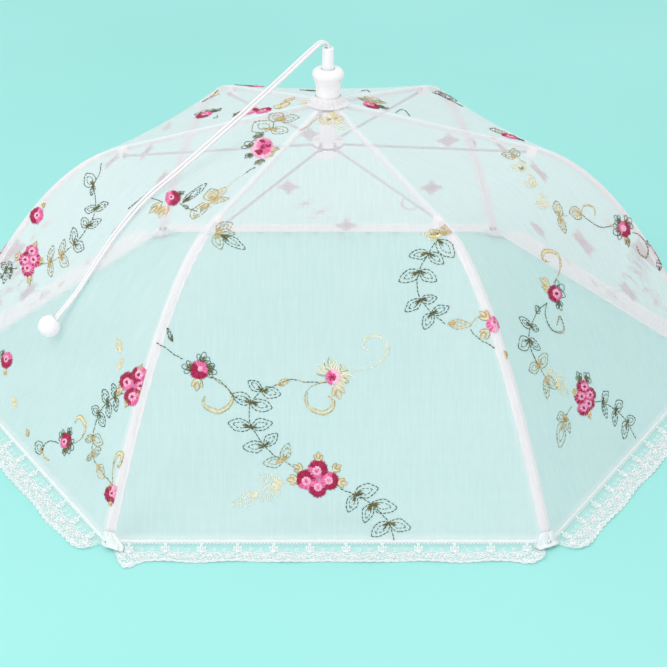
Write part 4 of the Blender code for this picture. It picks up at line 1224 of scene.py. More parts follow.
def right_flowers(work):
    work.tuft(-28 + 240j, -34 + 228j, GOLD, CREAM)
    work.tuft(-32 + 240j, -36 + 235j, GOLD, CREAM)
    work.petals(-26 + 246j, 7.5, (-8 + 246j, -27 + 260j))
    work.rose(-25 + 246j, 7.2, 3.7, 1.47 + 0.29j, cup=0.62)
    work.curl((
        -20 + 239j, -6 + 236j, 3 + 232j, 7 + 226j, 5 + 220j, -3 + 215j, -11 + 214j,
        -16 + 217j, -15 + 221j, -10 + 224j,
    ))
    scroll = (
        -41 + 247j, -50 + 252j, -54 + 260j, -51 + 268j, -40 + 274j, -34 + 271j, -33 + 262j, -43 + 266j,
    )
    work.curl(scroll, LEAF_DARK, CREAM, 1.2)
    nodes = (-41 + 247j, -58 + 247j, -78 + 252j, -89 + 259j, -93 + 270j, -92 + 280j)
    tips = ((), (), (-88 + 241j, -70 + 259j), (-108 + 258j, -80 + 271j))
    work.sprig(nodes, tips)
    nodes = (-93 + 270j, -92 + 280j, -90 + 291j, -88 + 298j)
    tips = ((), (-73 + 278j, -108 + 277j), (-100 + 304j, -80 + 304j))
    work.sprig(nodes, tips, MOSS, GOLD)
    work.leaf(-62 + 247j, -54 + 245j, LEAF_DARK, 0.35)
    work.leaf(-84 + 288j, -74 + 300j, CREAM, 0.3, CREAM)
    work.leaf(-78 + 302j, -68 + 315j, CREAM, 0.3, CREAM)
    work.leaf(-80 + 302j, -64 + 303j, CREAM, 0.3, CREAM)
    work.cluster(
        (-44 + 319j, -38 + 328j, -53 + 324j, -45 + 333j, -55 + 333j), 5.8, (3.6, -0.4, 2.6, 0.4, 1.4),
        (-61 + 315j, -51 + 344j), 1.66 + 0.54j,
        edge=BERRY + BERRY + PINK[:2], rim=PINK[2:] + PALE_PINK, cup=0.62,
    )
    work.loops(-44 + 314j, -44 + 306j)
    work.loops(-36 + 318j, -28 + 314j)
    nodes = (-35 + 336j, -25 + 341j, -11 + 354j, -1 + 369j, 3 + 386j)
    tips = ((), (-11 + 338j, -28 + 354j), (4 + 354j, -21 + 364j), (13 + 373j, -15 + 378j))
    work.sprig(nodes, tips)
    nodes = (-70 + 324j, -84 + 326j, -91 + 328j)
    work.sprig(nodes, ((), (-97 + 322j, -87 + 339j), (-109 + 341j,)), MOSS, GOLD)
    work.petals(109 + 243j, 8.0, (105 + 229j, 125 + 240j, 92 + 240j))
    work.tuft(106 + 249j, 104 + 258j, OLIVE, GOLD)
    work.rose(109 + 243j, 7.4, 0.9, 1.37 + 0.27j, PALE_PINK)
    work.line((94 + 234j, 81 + 230j, 73 + 223j, 68 + 216j, 65 + 210j), OLIVE)
    work.curl((65 + 210j, 74 + 207j, 82 + 209j, 86 + 214j, 81 + 219j), GOLD, CREAM, 1.2)
    work.leaf(66 + 211j, 52 + 204j, MOSS, 0.4, GOLD, CREAM)
    work.line((48 + 205j, 38 + 201j), GOLD)
    work.leaf(37 + 201j, 47 + 190j, MOSS, 0.35, GOLD, CREAM)
    work.leaf(37 + 201j, 31 + 215j, MOSS, 0.28, GOLD, CREAM)
    scroll = (118 + 250j, 125 + 255j, 130 + 264j, 128 + 272j, 121 + 275j, 114 + 268j, 115 + 261j)
    work.curl(scroll, OLIVE, CREAM, 1.2)
    work.leaf(133 + 263j, 135 + 269j, LEAF_DARK, 0.3)
    work.leaf(133 + 291j, 138 + 283j, LEAF_DARK, 0.4)
    work.line((137 + 276j, 139 + 285j))
    for root, tips, roots in (
        (30 + 188j, (38 + 178j, 22 + 180j), CREAM),
        (38 + 170j, (46 + 160j, 30 + 162j), CREAM),
        (46 + 154j, (55 + 147j, 40 + 144j), MOSS[:2]),
    ):
        for tip in tips:
            work.leaf(root, tip, CREAM, 0.3, roots)
    work.line((58 + 141j, 56 + 146j, 56 + 151j), GOLD)
    work.leaf(56 + 141j, 50 + 131j, MOSS, 0.4, GOLD)
    work.leaf(57 + 141j, 66 + 134j, MOSS, 0.4, GOLD)
    work.rose(-124 + 231j, 6.8, 2.8, edge=PINK[:1] + PALE_PINK)
    work.tuft(-129 + 251j, -131 + 258j, GOLD, GOLD)


# %% The far gores


def left_back_flowers(work):
    work.petals(2 + 116j, 8.0, (-12 + 108j, -14 + 128j))
    work.rose(2 + 117j, 7.6, 0.6, 1.28 - 0.96j)
    work.line((20 + 95j, 19 + 91j, 10 + 98j))
    work.petals(13 + 62j, 8.0, (14 + 78j, 24 + 72j))
    work.rose(13 + 62j, 7.6, 2.8, 1.36 - 1.0j)
    work.rose(16 + 46j, 7.0, 3.0, 1.28 - 0.96j)
    work.leaf(-1 + 38j, 16 + 29j, GOLD, 0.4, GOLD, CREAM)
    work.leaf(-4 + 38j, -17 + 36j, GOLD, 0.35, GOLD, CREAM)
    work.leaf(3 + 16j, 8 + 6j, CREAM, 0.4, CREAM, CREAM)
    work.leaf(-58 + 148j, -64 + 145j, GOLD, 0.4, GOLD, CREAM)
    work.line((-44 + 150j, -58 + 149j, -76 + 154j), OLIVE)
    work.leaf(-52 + 206j, -61 + 213j, GOLD, 0.4, GOLD, CREAM)
    work.leaf(-52 + 206j, -44 + 196j, GOLD, 0.4, GOLD, CREAM)
    for spot in (-120 + 306j, -44 + 235j, 28 + 212j):
        work.daisy(spot)


def back_flowers(work):
    work.rose(64 + 146j, 7.6, 0.5, 1.3j)
    work.leaf(71 + 148j, 82 + 150j)
    work.line((61 + 147j, 56 + 147j))
    work.leaf(17 + 104j, 24 + 101j)
    work.leaf(17 + 104j, 11 + 87j)
    work.line((-28 + 80j, -33 + 95j, -35 + 59j))
    for spot in (38 + 328j, -99 + 330j, 17 + 250j, -18 + 384j, -112 + 263j):
        work.daisy(spot)
    nodes = (34 + 338j, 22 + 352j, 8 + 364j, -8 + 378j)
    work.sprig(nodes, ((), (34 + 358j, 12 + 346j), (18 + 374j, -2 + 356j)), MOSS, GOLD)
    work.curl((-90 + 334j, -78 + 340j, -70 + 350j, -74 + 360j, -84 + 361j, -86 + 354j))


def right_back_flowers(work):
    work.tuft(0 + 34j, 18 + 41j, GOLD, GOLD)
    work.tuft(4 + 40j, 22 + 54j, GOLD, GOLD)
    work.petals(-6 + 32j, 6.5, (-8 + 43j, -10 + 46j))
    work.rose(-7 + 31j, 7.4, 2.6, 1.3 + 0.95j)
    work.line((-23 + 45j, -9 + 59j, -12 + 62j, -29 + 55j))
    nodes = (65 + 140j, 59 + 145j, 50 + 148j, 38 + 152j)
    work.sprig(nodes, ((), (72 + 155j,), (70 + 164j,), (35 + 154j,)))
    work.rose(-55 + 140j, 7.4, 0.2, 1.2 + 0.9j)
    work.leaf(-57 + 143j, -69 + 145j)
    work.leaf(-51 + 135j, -31 + 141j, OLIVE, 0.3, GOLD)
    for spot, reach in ((-16 + 321j, 19), (61 + 235j, 15), (2 + 240j, 15), (133 + 263j, 12)):
        work.daisy(spot, reach)


# %% Thread recipe and finish
# Faces of a stitch turned towards the net get a painted shade: the thread finish mixes them most of the
# way to this grey-lilac.
UNDERSIDE_SHADE_TONE = (0.62, 0.58, 0.64)
THREAD_LIFT = 0.25


def thread_recipe():
    bench = Recipe("thread_stitches", Fullness=1.0, Sides=5)
    tube = bench.threads(bench.taken("Geometry"))
    # Faces whose normal points in towards the net are stored as "under", the mask of the painted shade
    # in the thread finish.
    facing = bench.node("GeometryNodeInputNormal")
    sides = {0: facing, 1: bench.named("outward", "FLOAT_VECTOR")}
    dot = bench.node("ShaderNodeVectorMath", {"operation": "DOT_PRODUCT"}, sides, output="Value")
    stored = {0: tube, "Name": "under", "Value": dot.maths("LESS_THAN", dot, -0.2)}
    settings = {"domain": "FACE", "data_type": "FLOAT"}
    return bench.done(bench.node("GeometryNodeStoreNamedAttribute", settings, stored))


def thread_finish():
    bench = Finish("rayon_thread")
    fibre = bench.noise(2600, detail=3.0)
    fleck = bench.noise(500)
    dyed = bench.attribute("thread", "Color")
    tone = bench.mix(fibre.ramp(0.35, 0.7) * 0.03, dyed, (1.0, 0.97, 0.94))
    # Painted shade on the undersides of the stitches.
    tone = bench.mix(bench.attribute("under", "Fac") * 0.8, tone, UNDERSIDE_SHADE_TONE)
    return bench.surface(
        Base_Color=tone,
        Roughness=fleck * 0.25 + 0.36,
        Specular_IOR_Level=0.25,
        Normal=bench.bump(fibre, 0.08 * MM, 0.6),
    )


THREADS = thread_recipe()
RAYON = thread_finish()

# %% Sew the flowers on


def sew(name, gore, places, sizes, rises, colours):
    """Turns collected stitches into a mesh of lines with their sizes and colours, and grows it."""
    lift = (THREAD_LIFT + rises[:, None] * STITCH_RISE) * MM
    points = on_gore(gore, places, lift)
    outward = on_gore(gore, places, lift + MM) - points
    count = len(places)
    mesh = path_mesh(points.tolist(), (sizes[:, None] * STITCH_TAPER * MM).ravel())
    way = mesh.attributes.new("outward", "FLOAT_VECTOR", "POINT")
    way.data.foreach_set("vector", (outward / MM).reshape(-1))
    paint = mesh.attributes.new("thread", "FLOAT_COLOR", "POINT")
    four = np.concatenate([np.repeat(colours, 4, axis=0), np.ones((4 * count, 1))], axis=1)
    paint.data.foreach_set("color", four.ravel())
    return grow(name, THREADS, mesh, RAYON)


LAYOUTS = {
    1: ((right_back_flowers, False), (left_flowers, True)),
    2: ((back_flowers, False),),
    3: ((left_back_flowers, False), (left_flowers, False)),
    4: ((left_flowers, False), (upper_left_motifs, False)),
    5: ((front_flowers, False), (crown_motifs, False)),
    6: ((right_flowers, False),),
}
flowers = {}
for gore, layouts in LAYOUTS.items():
    work = Needlework(gore, 10 + gore)
    for layout, work.mirrored in layouts:
        layout(work)
    sewn = work.arrays()
    left = sewn[0].real.mean(axis=1) < 0
    for half, chosen in (("a", left), ("b", ~left)):
        piece = sew(f"embroidery_{gore}{half}", gore, *(values[chosen] for values in sewn))
        flowers[gore, half] = fold_with_gore(piece)
    faces = sum(len(flowers[gore, half].data.polygons) for half in "ab")
    print("gore", gore, "stitches:", len(left), "faces:", faces)

# %% [markdown]
# ## Tape over the ribs
#
# A woven tape is sewn round each lower rib and holds the net to the wire. It is
# flat where it lies under the net and full round the wire. Its profile is
# swept down the rib, a slow wave puckers its edges between stitches, and a
# fine twill runs across it.

# %% Tape finish


def tape_finish():
    bench = Finish("sleeve_tape")
    across, along = bench.cloth()
    crease = bench.noise(130, detail=3.0, where=bench.vector(across * 6, along * 0.35))
    twill = ((across + along) * (math.tau / (0.9 * MM))).sine()
    selvedge = (across / (5 * MM)).size().ramp(0.72, 0.95)
    # Where the crease noise is low the bump sinks and the tone darkens: a painted shade in the creases.
    tone = bench.mix(crease.ramp(0.3, 0.7), (0.925, 0.915, 0.93), (0.98, 0.98, 0.985))
    tone = bench.mix(selvedge, tone, (0.975, 0.975, 0.98))
    alpha = (crease.ramp(0.25, 0.7) * 0.32 + 0.34 + selvedge * 0.5 + twill * 0.05).held()
    return bench.surface(
        Base_Color=tone,
        Roughness=crease * 0.2 + 0.6,
        Alpha=alpha,
        # A faint painted glow: the tape gives off light in its own tone, standing in for the light that
        # thin cloth lets through.
        Emission_Color=tone,
        Emission_Strength=0.07,
        Normal=bench.bump(crease + twill * 0.15, 0.35 * MM, 0.7),
    )


SLEEVE_TAPE = tape_finish()

# %% Sweep the tape
TAPE_HALF_WIDTH = 5.0 * MM
TAPE_FROM = 16 * MM
TAPE_TO = 7.5 * MM
TAPE_ROWS = 150
TAPE_THICKNESS = 0.35 * MM
TAPE_UNDER_NET = 0.45 * MM
TAPE_SEAM_DEPTH = 0.12 * MM
TAPE_BELLY = 1.75 * MM
PUCKER_PITCH = 11 * MM

rib_points, rib_slopes = lower_rib(np.linspace(0, 1, 400))
rib_runs = runs(rib_points)
tape_marks = np.linspace(TAPE_FROM, rib_runs[-1] - TAPE_TO, TAPE_ROWS)
tape_lean = 2 * SAG_SHARE / (math.sin(HALF_GORE) * math.cos(HALF_GORE))


def turned_to_rib(rib, rings):
    """Rings laid out above the first rib, turned round the axis to another rib."""
    return np.array(rings) @ np.array(Matrix.Rotation(GORE_ANGLE * (rib - 1), 3, "Z")).T


def tape_rings(rib):
    rings, plan = [], []
    for run in tape_marks:
        slope = np.interp(run, rib_runs, rib_slopes)
        centre = np.array([np.interp(run, rib_runs, column) for column in rib_points.T])
        lean = math.tan(HALF_GORE) * math.sin(slope) + tape_lean
        pucker = math.sin(run / PUCKER_PITCH * math.tau + rib)
        pucker += 0.6 * math.sin(run / PUCKER_PITCH * 3.9 + 2 * rib)
        half = TAPE_HALF_WIDTH * (0.95 + 0.035 * pucker)
        roof = NET_LIFT - TAPE_UNDER_NET
        belly = TAPE_BELLY * (1 + 0.06 * pucker)
        near_edge = half * 0.85
        right = [
            (half * 0.5, roof - half * 0.5 * lean - TAPE_SEAM_DEPTH),
            (near_edge, roof - half * 0.85 * lean),
            (half, roof - half * lean - TAPE_THICKNESS / 2),
            (near_edge, roof - half * 0.85 * lean - TAPE_THICKNESS),
            (belly, -belly * 0.5),
        ]
        outline = [(0, roof), *right, (0, -belly), *((-side, lift) for side, lift in right[::-1])]
        spots = [(side, lifted(centre[None], np.array([slope]), lift)[0]) for side, lift in outline]
        rings.append([(spot[0], side, spot[1]) for side, spot in spots])
        plan.append([(side, run) for side, _ in outline])
    return turned_to_rib(rib, rings), np.array(plan)


for rib in range(1, RIB_COUNT + 1):
    grid, plan = tape_rings(rib)
    mesh = sheet_mesh(f"rib_tape_{rib}", grid, wrap=True, uv=plan)
    piece = add_piece(f"rib_tape_{rib}", mesh, SLEEVE_TAPE)
    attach(piece, f"rib_body_{rib}")
    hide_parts(f"rib_sleeve_{rib}")

# %% [markdown]
# ## The rolled hem
#
# The lower edge of the net is rolled and sewn with white thread, so it shows as a bright line. A thin
# flattened tube follows the hem of each half gore.

# %% Hem finish and hem
HEM_RADIUS = 1.0 * MM
HEM_POINTS = 90
HEM_SIDES = 10
HEM_RAISE = 0.35 * MM


def cotton_finish(name, yarns, clouds, dark, light, detail=3.0, depth=0.2 * MM, **painted_glow):
    """Matt white thread. painted_glow, if given, makes the thread give off light in its own tone: a
    painted glow for the light that thin cloth lets through.
    """
    bench = Finish(name)
    yarn = bench.noise(yarns, detail=detail)
    cloud = bench.noise(clouds)
    tone = bench.mix(yarn.ramp(0.3, 0.7), dark, light)
    # Painted glow: emission in the thread's own tone.
    if painted_glow:
        painted_glow["Emission_Color"] = tone
    return bench.surface(
        Base_Color=tone,
        Roughness=cloud * 0.2 + 0.6,
        Normal=bench.bump(yarn, depth, 0.5),
        **painted_glow,
    )


# The hem thread is white. The mint in both of these colours is the table's light painted into it.
HEM_WHITE = cotton_finish("hem_thread", 900, 90, (0.77, 0.86, 0.865), (0.86, 0.93, 0.93))
for gore, half in nets:
    first, last = HALF_SPANS[half]
    across = np.linspace(first, last, HEM_POINTS)
    path = on_net(gore, across, np.full(HEM_POINTS, 1.0))
    outward = on_net(gore, across, np.full(HEM_POINTS, 1.0), MM) - path
    outward /= np.linalg.norm(outward, axis=1)[:, None]
    ways = np.gradient(path, axis=0)
    ways /= np.linalg.norm(ways, axis=1)[:, None]
    upward = np.cross(outward, ways)
    rings = []
    angles = np.arange(HEM_SIDES) / HEM_SIDES * math.tau
    for k in range(HEM_POINTS):
        roll = 1 + 0.12 * math.sin(across[k] * 95 + gore) + 0.08 * math.sin(across[k] * 211)
        wide, thick = HEM_RADIUS * 1.25 * roll, HEM_RADIUS * 0.8 * roll
        offset = np.outer(np.cos(angles), upward[k]) * wide
        offset = offset + np.outer(np.sin(angles), outward[k]) * thick
        rings.append(path[k] + offset + np.array([0, 0, HEM_RAISE]))
    piece = closed_piece(f"hem_{gore}{half}", rings, HEM_WHITE)
    fold_with_gore(piece)

# %% [markdown]
# ## Lace on the table
#
# A strip of machine lace is sewn to the hem and lies flat on the table. It has
# an open band with small fans next to the hem, a band of flowers, and an edge of
# small scallops. The thread motifs are one unit, repeated by Geometry Nodes. The
# fine ground behind them is a sheet with a pattern in its Alpha.

# %% One unit of the lace, in mm along and out
LACE_WIDTH = 27.0
LACE_UNIT = 26.0
LACE_UNITS = 6
SCALLOP = LACE_UNIT / 4
LACE_FULLNESS = 1.15


def oval(centre, along, wide, count=11):
    """A closed loop round a centre, with its long axis along a complex vector."""
    t = np.linspace(0, 1, count) * math.tau
    return centre + along * np.cos(t) + 1j * direction(along) * wide * np.sin(t)


def zigzag(start, end, wide, count):
    t = np.linspace(0, 1, count)
    sway = wide * np.sin(np.pi * t) * np.where(np.arange(count) % 2, 1, -1)
    return start + (end - start) * t + 1j * direction(end - start) * sway


def lace_unit():
    """The mesh of one repeat. Its threads are complex numbers, x along the strip and y outward."""
    threads = []
    for k in range(4):
        t = np.linspace(0, 1, 9)
        x = (k + t) * SCALLOP
        bulge = np.sin(np.pi * t) ** 0.7
        threads.append((x + 1j * (25.2 + 1.8 * bulge), 0.42))
        threads.append((x + 1j * (23.2 + 1.6 * bulge), 0.26))
        threads.append((zigzag(x[0] + 25j, x[-1] + 25j, 1.1, 10), 0.3))
    for middle in (6.5 + 15.5j, 19.5 + 17.0j):
        for k in range(5):
            way = np.exp(1j * (math.tau * k / 5 + 0.3))
            threads.append((oval(middle + way * 2.9, way * 2.0, 1.5), 0.32))
            threads.append((zigzag(middle + way * 1.3, middle + way * 4.6, 1.0, 7), 0.3))
        threads.append((oval(middle, 0.9, 0.9, 8), 0.35))
    for start, end in (
        (1.0 + 21.0j, 4.5 + 20.8j), (9.5 + 21.5j, 13.5 + 20.0j), (13.0 + 12.0j, 15.5 + 13.5j),
        (24.0 + 20.5j, 26.0 + 18.0j), (0.3 + 12.6j, 3.0 + 12.0j),
    ):
        threads.append((zigzag(start, end, 1.2, 8), 0.34))
        threads.append((oval((start + end) / 2, (end - start) * 0.6, 1.3, 9), 0.24))
    for k, way in enumerate((-0.9, -0.45, 0.0, 0.45, 0.9)):
        arm = 1j * np.exp(1j * way)
        foot = 13.0 + 10.5j
        reach = (4.2, 6.4, 8.2, 6.4, 4.2)[k]
        threads.append((zigzag(foot, foot - arm * reach, 0.8, 8), 0.3))
        threads.append((oval(foot - arm * reach * 0.55, -arm * reach * 0.45, 0.9, 9), 0.25))
    for x in (3.5, 22.5):
        threads.append((oval(complex(x, 7.6), 1.2, 1.2, 8), 0.26))
        threads.append((zigzag(complex(x, 8.8), complex(x, 11.0), 0.5, 5), 0.24))
    vine = np.linspace(0, LACE_UNIT, 21)
    threads.append((vine + 1j * (11.0 + 0.9 * np.sin(vine / LACE_UNIT * 2 * math.tau)), 0.3))
    threads.append((vine + 1j * 1.2, 0.34))
    threads.append((vine + 1j * (2.3 + 0.5 * np.where(np.arange(21) % 2, 1, -1)), 0.24))
    paths = [[(spot.real * MM, spot.imag * MM, 0.0) for spot in path] for path, _ in threads]
    sizes = [size * LACE_FULLNESS * MM for path, size in threads for _ in path]
    return path_mesh(paths, sizes)


# %% Recipe that repeats the unit


def lace_recipe():
    bench = Recipe("lace_strip", Units=LACE_UNITS, Pitch=LACE_UNIT * MM, Fullness=1.0, Sides=4)
    step = bench.vector(bench.taken("Pitch"))
    row = bench.node("GeometryNodeMeshLine", None, {"Count": bench.taken("Units"), "Offset": step})
    sockets = {"Points": row, "Instance": bench.taken("Geometry")}
    strip = bench.node("GeometryNodeInstanceOnPoints", None, sockets)
    strip = bench.node("GeometryNodeRealizeInstances", None, {0: strip})
    return bench.done(bench.threads(strip))


LACE_STRIP = lace_recipe()

# %% [markdown]
# ## Lace finishes
#
# The motif threads are white cotton. The ground is a fine hexagonal mesh: two slanted sine waves and one
# straight wave cross each other, and patches of closer work show where the flowers are. Threads and
# ground are tinted with the table's mint and given a faint painted glow, light of their own that keeps
# them bright.

# %% Lace finishes
LACE_HOLE = 1.7 * MM


def lace_ground_finish():
    bench = Finish("lace_ground")
    along, out = bench.cloth()
    rising = ((along * 0.87 + out * 0.5) * (math.tau / LACE_HOLE)).sine()
    falling = ((along * 0.87 - out * 0.5) * (math.tau / LACE_HOLE)).sine()
    level = (out * (math.tau / LACE_HOLE)).sine()
    cells = rising.largest(falling).largest(level).ramp(0.45, 0.95)
    blot = bench.noise(330, detail=3.0, where=bench.vector(along, out)).ramp(0.5, 0.6)
    floral = (out / MM).ramp(9.5, 13.0)
    edge = (out / MM).ramp(22.0, 24.5)
    alpha = (cells * 0.28 + 0.11 + floral * (blot * 0.35 + 0.16) + edge * 0.2).held()
    # The white ground is tinted with the table's mint, painted light from the table.
    tone = bench.mix(blot, (0.89, 0.965, 0.965), (0.95, 0.99, 0.99))
    return bench.surface(
        Base_Color=tone,
        Roughness=blot * 0.1 + 0.65,
        Alpha=alpha,
        # A faint painted glow in the ground's own tone.
        Emission_Color=tone,
        Emission_Strength=0.07,
        Normal=bench.bump(cells + blot, 0.2 * MM, 0.5),
    )


# Lace thread: white tinted with the table's mint, with a faint painted glow set by Emission_Strength.
LACE_THREAD = cotton_finish(
    "lace_thread", 1500, 60, (0.90, 0.965, 0.965), (0.96, 0.99, 0.99),
    detail=2.0, depth=0.1 * MM, Emission_Strength=0.06,
)
LACE_GROUND = lace_ground_finish()

# %% Lay the lace on the table
LACE_TUCK = 1.0 * MM
LACE_BASE = 0.6 * MM
LACE_FALL = 9 * MM
LACE_END_GAP = 4 * MM
LACE_FLAP_PLACE, LACE_FLAP_WIDTH = 12 * MM, 9 * MM
LACE_GATHER_LENGTH = 7 * MM
LACE_SWAY = 0.8 * MM
LACE_WAVE = 0.4 * MM
LACE_FLAP_HEIGHT = 1.6 * MM
LACE_GATHER_HEIGHT = 1.8 * MM
LACE_THREAD_LIFT = 0.1 * MM
LACE_FLATNESS = 0.2
SCALLOP_DEPTH = 1.6 * MM
GROUND_COLUMNS, GROUND_ROWS = 180, 14
HEM_RADIUS_OUT = float(NET_LINE[-1, 0])
LACE_INNER = HEM_RADIUS_OUT * math.cos(HALF_GORE) - LACE_TUCK
LACE_HALF = HEM_RADIUS_OUT * math.sin(HALF_GORE) - LACE_END_GAP
LACE_STRETCH = LACE_HALF / (LACE_UNITS * LACE_UNIT * MM)
# How far the gathered end of a strip bulges outwards, and along, in mm
LACE_FLAPS = {(5, "a"): (9.5, -5.0), (5, "b"): (3.5, -1.0), (4, "b"): (0.0, 1.0), (6, "a"): (1.0, 1.0)}
# How much of its width a strip shows where it is rumpled
LACE_REACH = {4: 0.92, 5: 0.84, 6: 0.95}


def on_table(gore, half, flat, height):
    """Lace plan, along from the middle of the gore and outward, laid out beside its hem."""
    along, out = flat[..., 0] * LACE_STRETCH, flat[..., 1]
    share = out / (LACE_WIDTH * MM)
    from_end = LACE_HALF - along
    flap, drawn = LACE_FLAPS.get((gore, half), (2.0, 1.0))
    bulge = np.exp(-(((from_end - LACE_FLAP_PLACE) / LACE_FLAP_WIDTH) ** 2))
    gather = np.exp(-from_end / LACE_GATHER_LENGTH)
    sway = LACE_SWAY * np.sin(along * 95 + gore) * share + flap * MM * bulge * share
    lift = LACE_WAVE * (1 + np.sin(along * 140 + 2 * gore)) * share**2
    lift = lift + bulge * LACE_FLAP_HEIGHT * np.sin(np.pi * share) + gather * LACE_GATHER_HEIGHT * share
    lift = lift + (HEM_HEIGHT - LACE_BASE) * 0.5 * (1 + np.cos(np.pi * np.clip(out / LACE_FALL, 0, 1)))
    side = along + drawn * MM * gather * share
    side = side if half == "b" else -side
    reach = LACE_INNER + out * LACE_REACH.get(gore, 1.0) * (1 - 0.3 * gather) + sway
    return out_from_axis(gore, reach, side, LACE_BASE + lift + height)


laces, grounds = {}, {}
lace_length = LACE_UNITS * LACE_UNIT * MM
for gore in range(1, RIB_COUNT + 1):
    for half in HALF_SPANS:
        piece = grow(f"lace_{gore}{half}", LACE_STRIP, lace_unit(), LACE_THREAD)
        flat = np.zeros(len(piece.data.vertices) * 3)
        piece.data.vertices.foreach_get("co", flat)
        flat = flat.reshape(-1, 3)
        placed = on_table(gore, half, flat[:, :2], flat[:, 2] * LACE_FLATNESS + LACE_THREAD_LIFT)
        piece.data.vertices.foreach_set("co", placed.ravel())
        if half == "a":
            piece.data.flip_normals()
        piece.data.update()
        laces[gore, half] = fold_with_gore(piece)
        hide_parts(f"lace_{gore}")
        steps = np.linspace(0, lace_length, GROUND_COLUMNS), np.linspace(0, LACE_WIDTH * MM, GROUND_ROWS)
        along, out = np.meshgrid(*steps, indexing="ij")
        scallops = SCALLOP_DEPTH * (1 - np.abs(np.sin(np.pi * along / (SCALLOP * MM))) ** 0.7)
        plan = np.stack([along, out * (1 - scallops / (LACE_WIDTH * MM))], axis=-1)
        grid = on_table(gore, half, plan, np.zeros(along.shape))
        if half == "b":
            grid, plan = grid[::-1], plan[::-1]
        mesh = sheet_mesh("ground", grid, uv=plan)
        ground = add_piece(f"lace_ground_{gore}{half}", mesh, LACE_GROUND)
        grounds[gore, half] = fold_with_gore(ground)
        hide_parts(f"lace_{gore}")
print("lace faces in each half:", len(laces[1, "a"].data.polygons))

# %% [markdown]
# ## Gathered corners
#
# At each foot the hem, the lace and the end of the tape are gathered and sewn
# round the plastic tip. The bunch is a short sock with pleats: a ring of points
# is drawn in at both ends and wavy in between.

# %% Gather the corners
POCKET_ROWS = 26
POCKET_SIDES = 48
POCKET_FROM, POCKET_LENGTH = -6 * MM, 14 * MM
POCKET_BEND = 2.5 * MM
POCKET_NARROW, POCKET_SWELL = 2.4 * MM, 1.9 * MM
POCKET_CLEAR = 0.35 * MM
POCKET_LEAN = {5: 8.0, 6: -3.0}


def corner_pocket(rib):
    rings = []
    axis = downhill(FOOT_SLOPE)
    angles = np.arange(POCKET_SIDES) / POCKET_SIDES * math.tau
    for k in range(POCKET_ROWS):
        t = k / (POCKET_ROWS - 1)
        run = POCKET_FROM + POCKET_LENGTH * t
        centre = FOOT + axis * min(run, POCKET_BEND) + np.array([max(run - POCKET_BEND, 0), 0])
        swell = math.sin(math.pi * min(1.0, 0.1 + t * 0.88)) ** 0.7
        radius = POCKET_NARROW + POCKET_SWELL * swell
        pleat = 1 + 0.22 * np.sin(7 * angles + 2.2 * t + rib) + 0.12 * np.sin(13 * angles - 4 * t)
        lean = POCKET_LEAN.get(rib, 0.0) * MM * t
        side = radius * (1.1 + 1.5 * t) * pleat * np.cos(angles) + lean
        lift = radius * (1.0 - 0.6 * t) * pleat * np.sin(angles)
        spots = centre + np.outer(lift, [math.sin(FOOT_SLOPE), math.cos(FOOT_SLOPE)])
        height = np.maximum(spots[:, 1], POCKET_CLEAR)
        rings.append(np.stack([spots[:, 0], side, height], axis=1))
    return closed_piece(f"corner_gather_{rib}", turned_to_rib(rib, rings), HEM_WHITE)


corners = {}
for rib in range(1, RIB_COUNT + 1):
    corners[rib] = corner_pocket(rib)
    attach(corners[rib], f"rib_body_{rib}")
print("corner gathers:", len(corners))

# %% [markdown]
# ## The patch round the crown
#
# A round patch of doubled net covers the place where the six gores meet, under
# the knob. It is gathered round the knob's neck and spreads over the crown.

# %% Patch
PATCH_RADIUS = 17 * MM
PATCH_NECK = 10.4 * MM
PATCH_TOP = 250.0 * MM
PATCH_FOLDS = 18
PATCH_ROWS = 26
PATCH_SIDES = 144

rings, plan = [], []
angles = np.arange(PATCH_SIDES) / PATCH_SIDES * math.tau
for share in np.linspace(0, 1, PATCH_ROWS):
    radius = PATCH_NECK + (PATCH_RADIUS - PATCH_NECK) * share**1.4
    settle = min(1.0, share * 2.2) ** 0.8
    net_height = float(np.interp(radius, NET_LINE[:, 0], NET_LINE[:, 1]))
    height = PATCH_TOP * (1 - settle) + (net_height + 0.7 * MM) * settle
    depth = 0.55 * MM * math.sin(math.pi * min(1.0, share * 0.9 + 0.1)) ** 0.8
    fold = np.sin(PATCH_FOLDS * angles) + 0.5 * np.sin(29 * angles + 1.3)
    wide = radius + depth * (0.5 + 0.5 * fold)
    ring = [wide * np.cos(angles), wide * np.sin(angles), height + 0.2 * depth * fold]
    rings.append(np.stack(ring, axis=1))
    plan.append(np.stack([angles * 14 * MM, np.full(PATCH_SIDES, share * 12 * MM)], axis=1))
mesh = sheet_mesh("patch", np.array(rings), wrap=True, uv=np.array(plan))
patch = add_piece("crown_patch", mesh, WHITE_NET)
folded = patch.data.attributes.new("doubled", "FLOAT", "POINT")
folded.data.foreach_set("value", np.repeat(2.2 - 1.2 * np.linspace(0, 1, PATCH_ROWS), PATCH_SIDES))
patch.data.flip_normals()
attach(patch, "hub")
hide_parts("top_patch")

# %% [markdown]
# ## Finishes for the parts that stay
#
# The ribs, struts, clips, tips, rings, crown and runner keep their packed shapes. Wire that was dipped
# in white enamel is slightly grey and dull, and thinner enamel at bends and rubs lets the steel show.
# Both wire finishes are painted greyer still, as painted shade for wire that lies under the net, and the
# struts inside the dome get the darker copy.

# %% Wire and ring finishes


def enamel_finish(name, dark, light):
    bench = Finish(name)
    cloud = bench.noise(220, detail=4.0)
    rub = bench.noise(700, detail=2.0).ramp(0.66, 0.78)
    tone = bench.mix(cloud.ramp(0.3, 0.75), dark, light)
    tone = bench.mix(rub * 0.6, tone, (0.35, 0.36, 0.38))
    return bench.surface(
        Base_Color=tone,
        Roughness=cloud * 0.2 + 0.32,
        Metallic=rub * 0.7,
        Normal=bench.bump(cloud, 0.08 * MM, 0.4),
    )


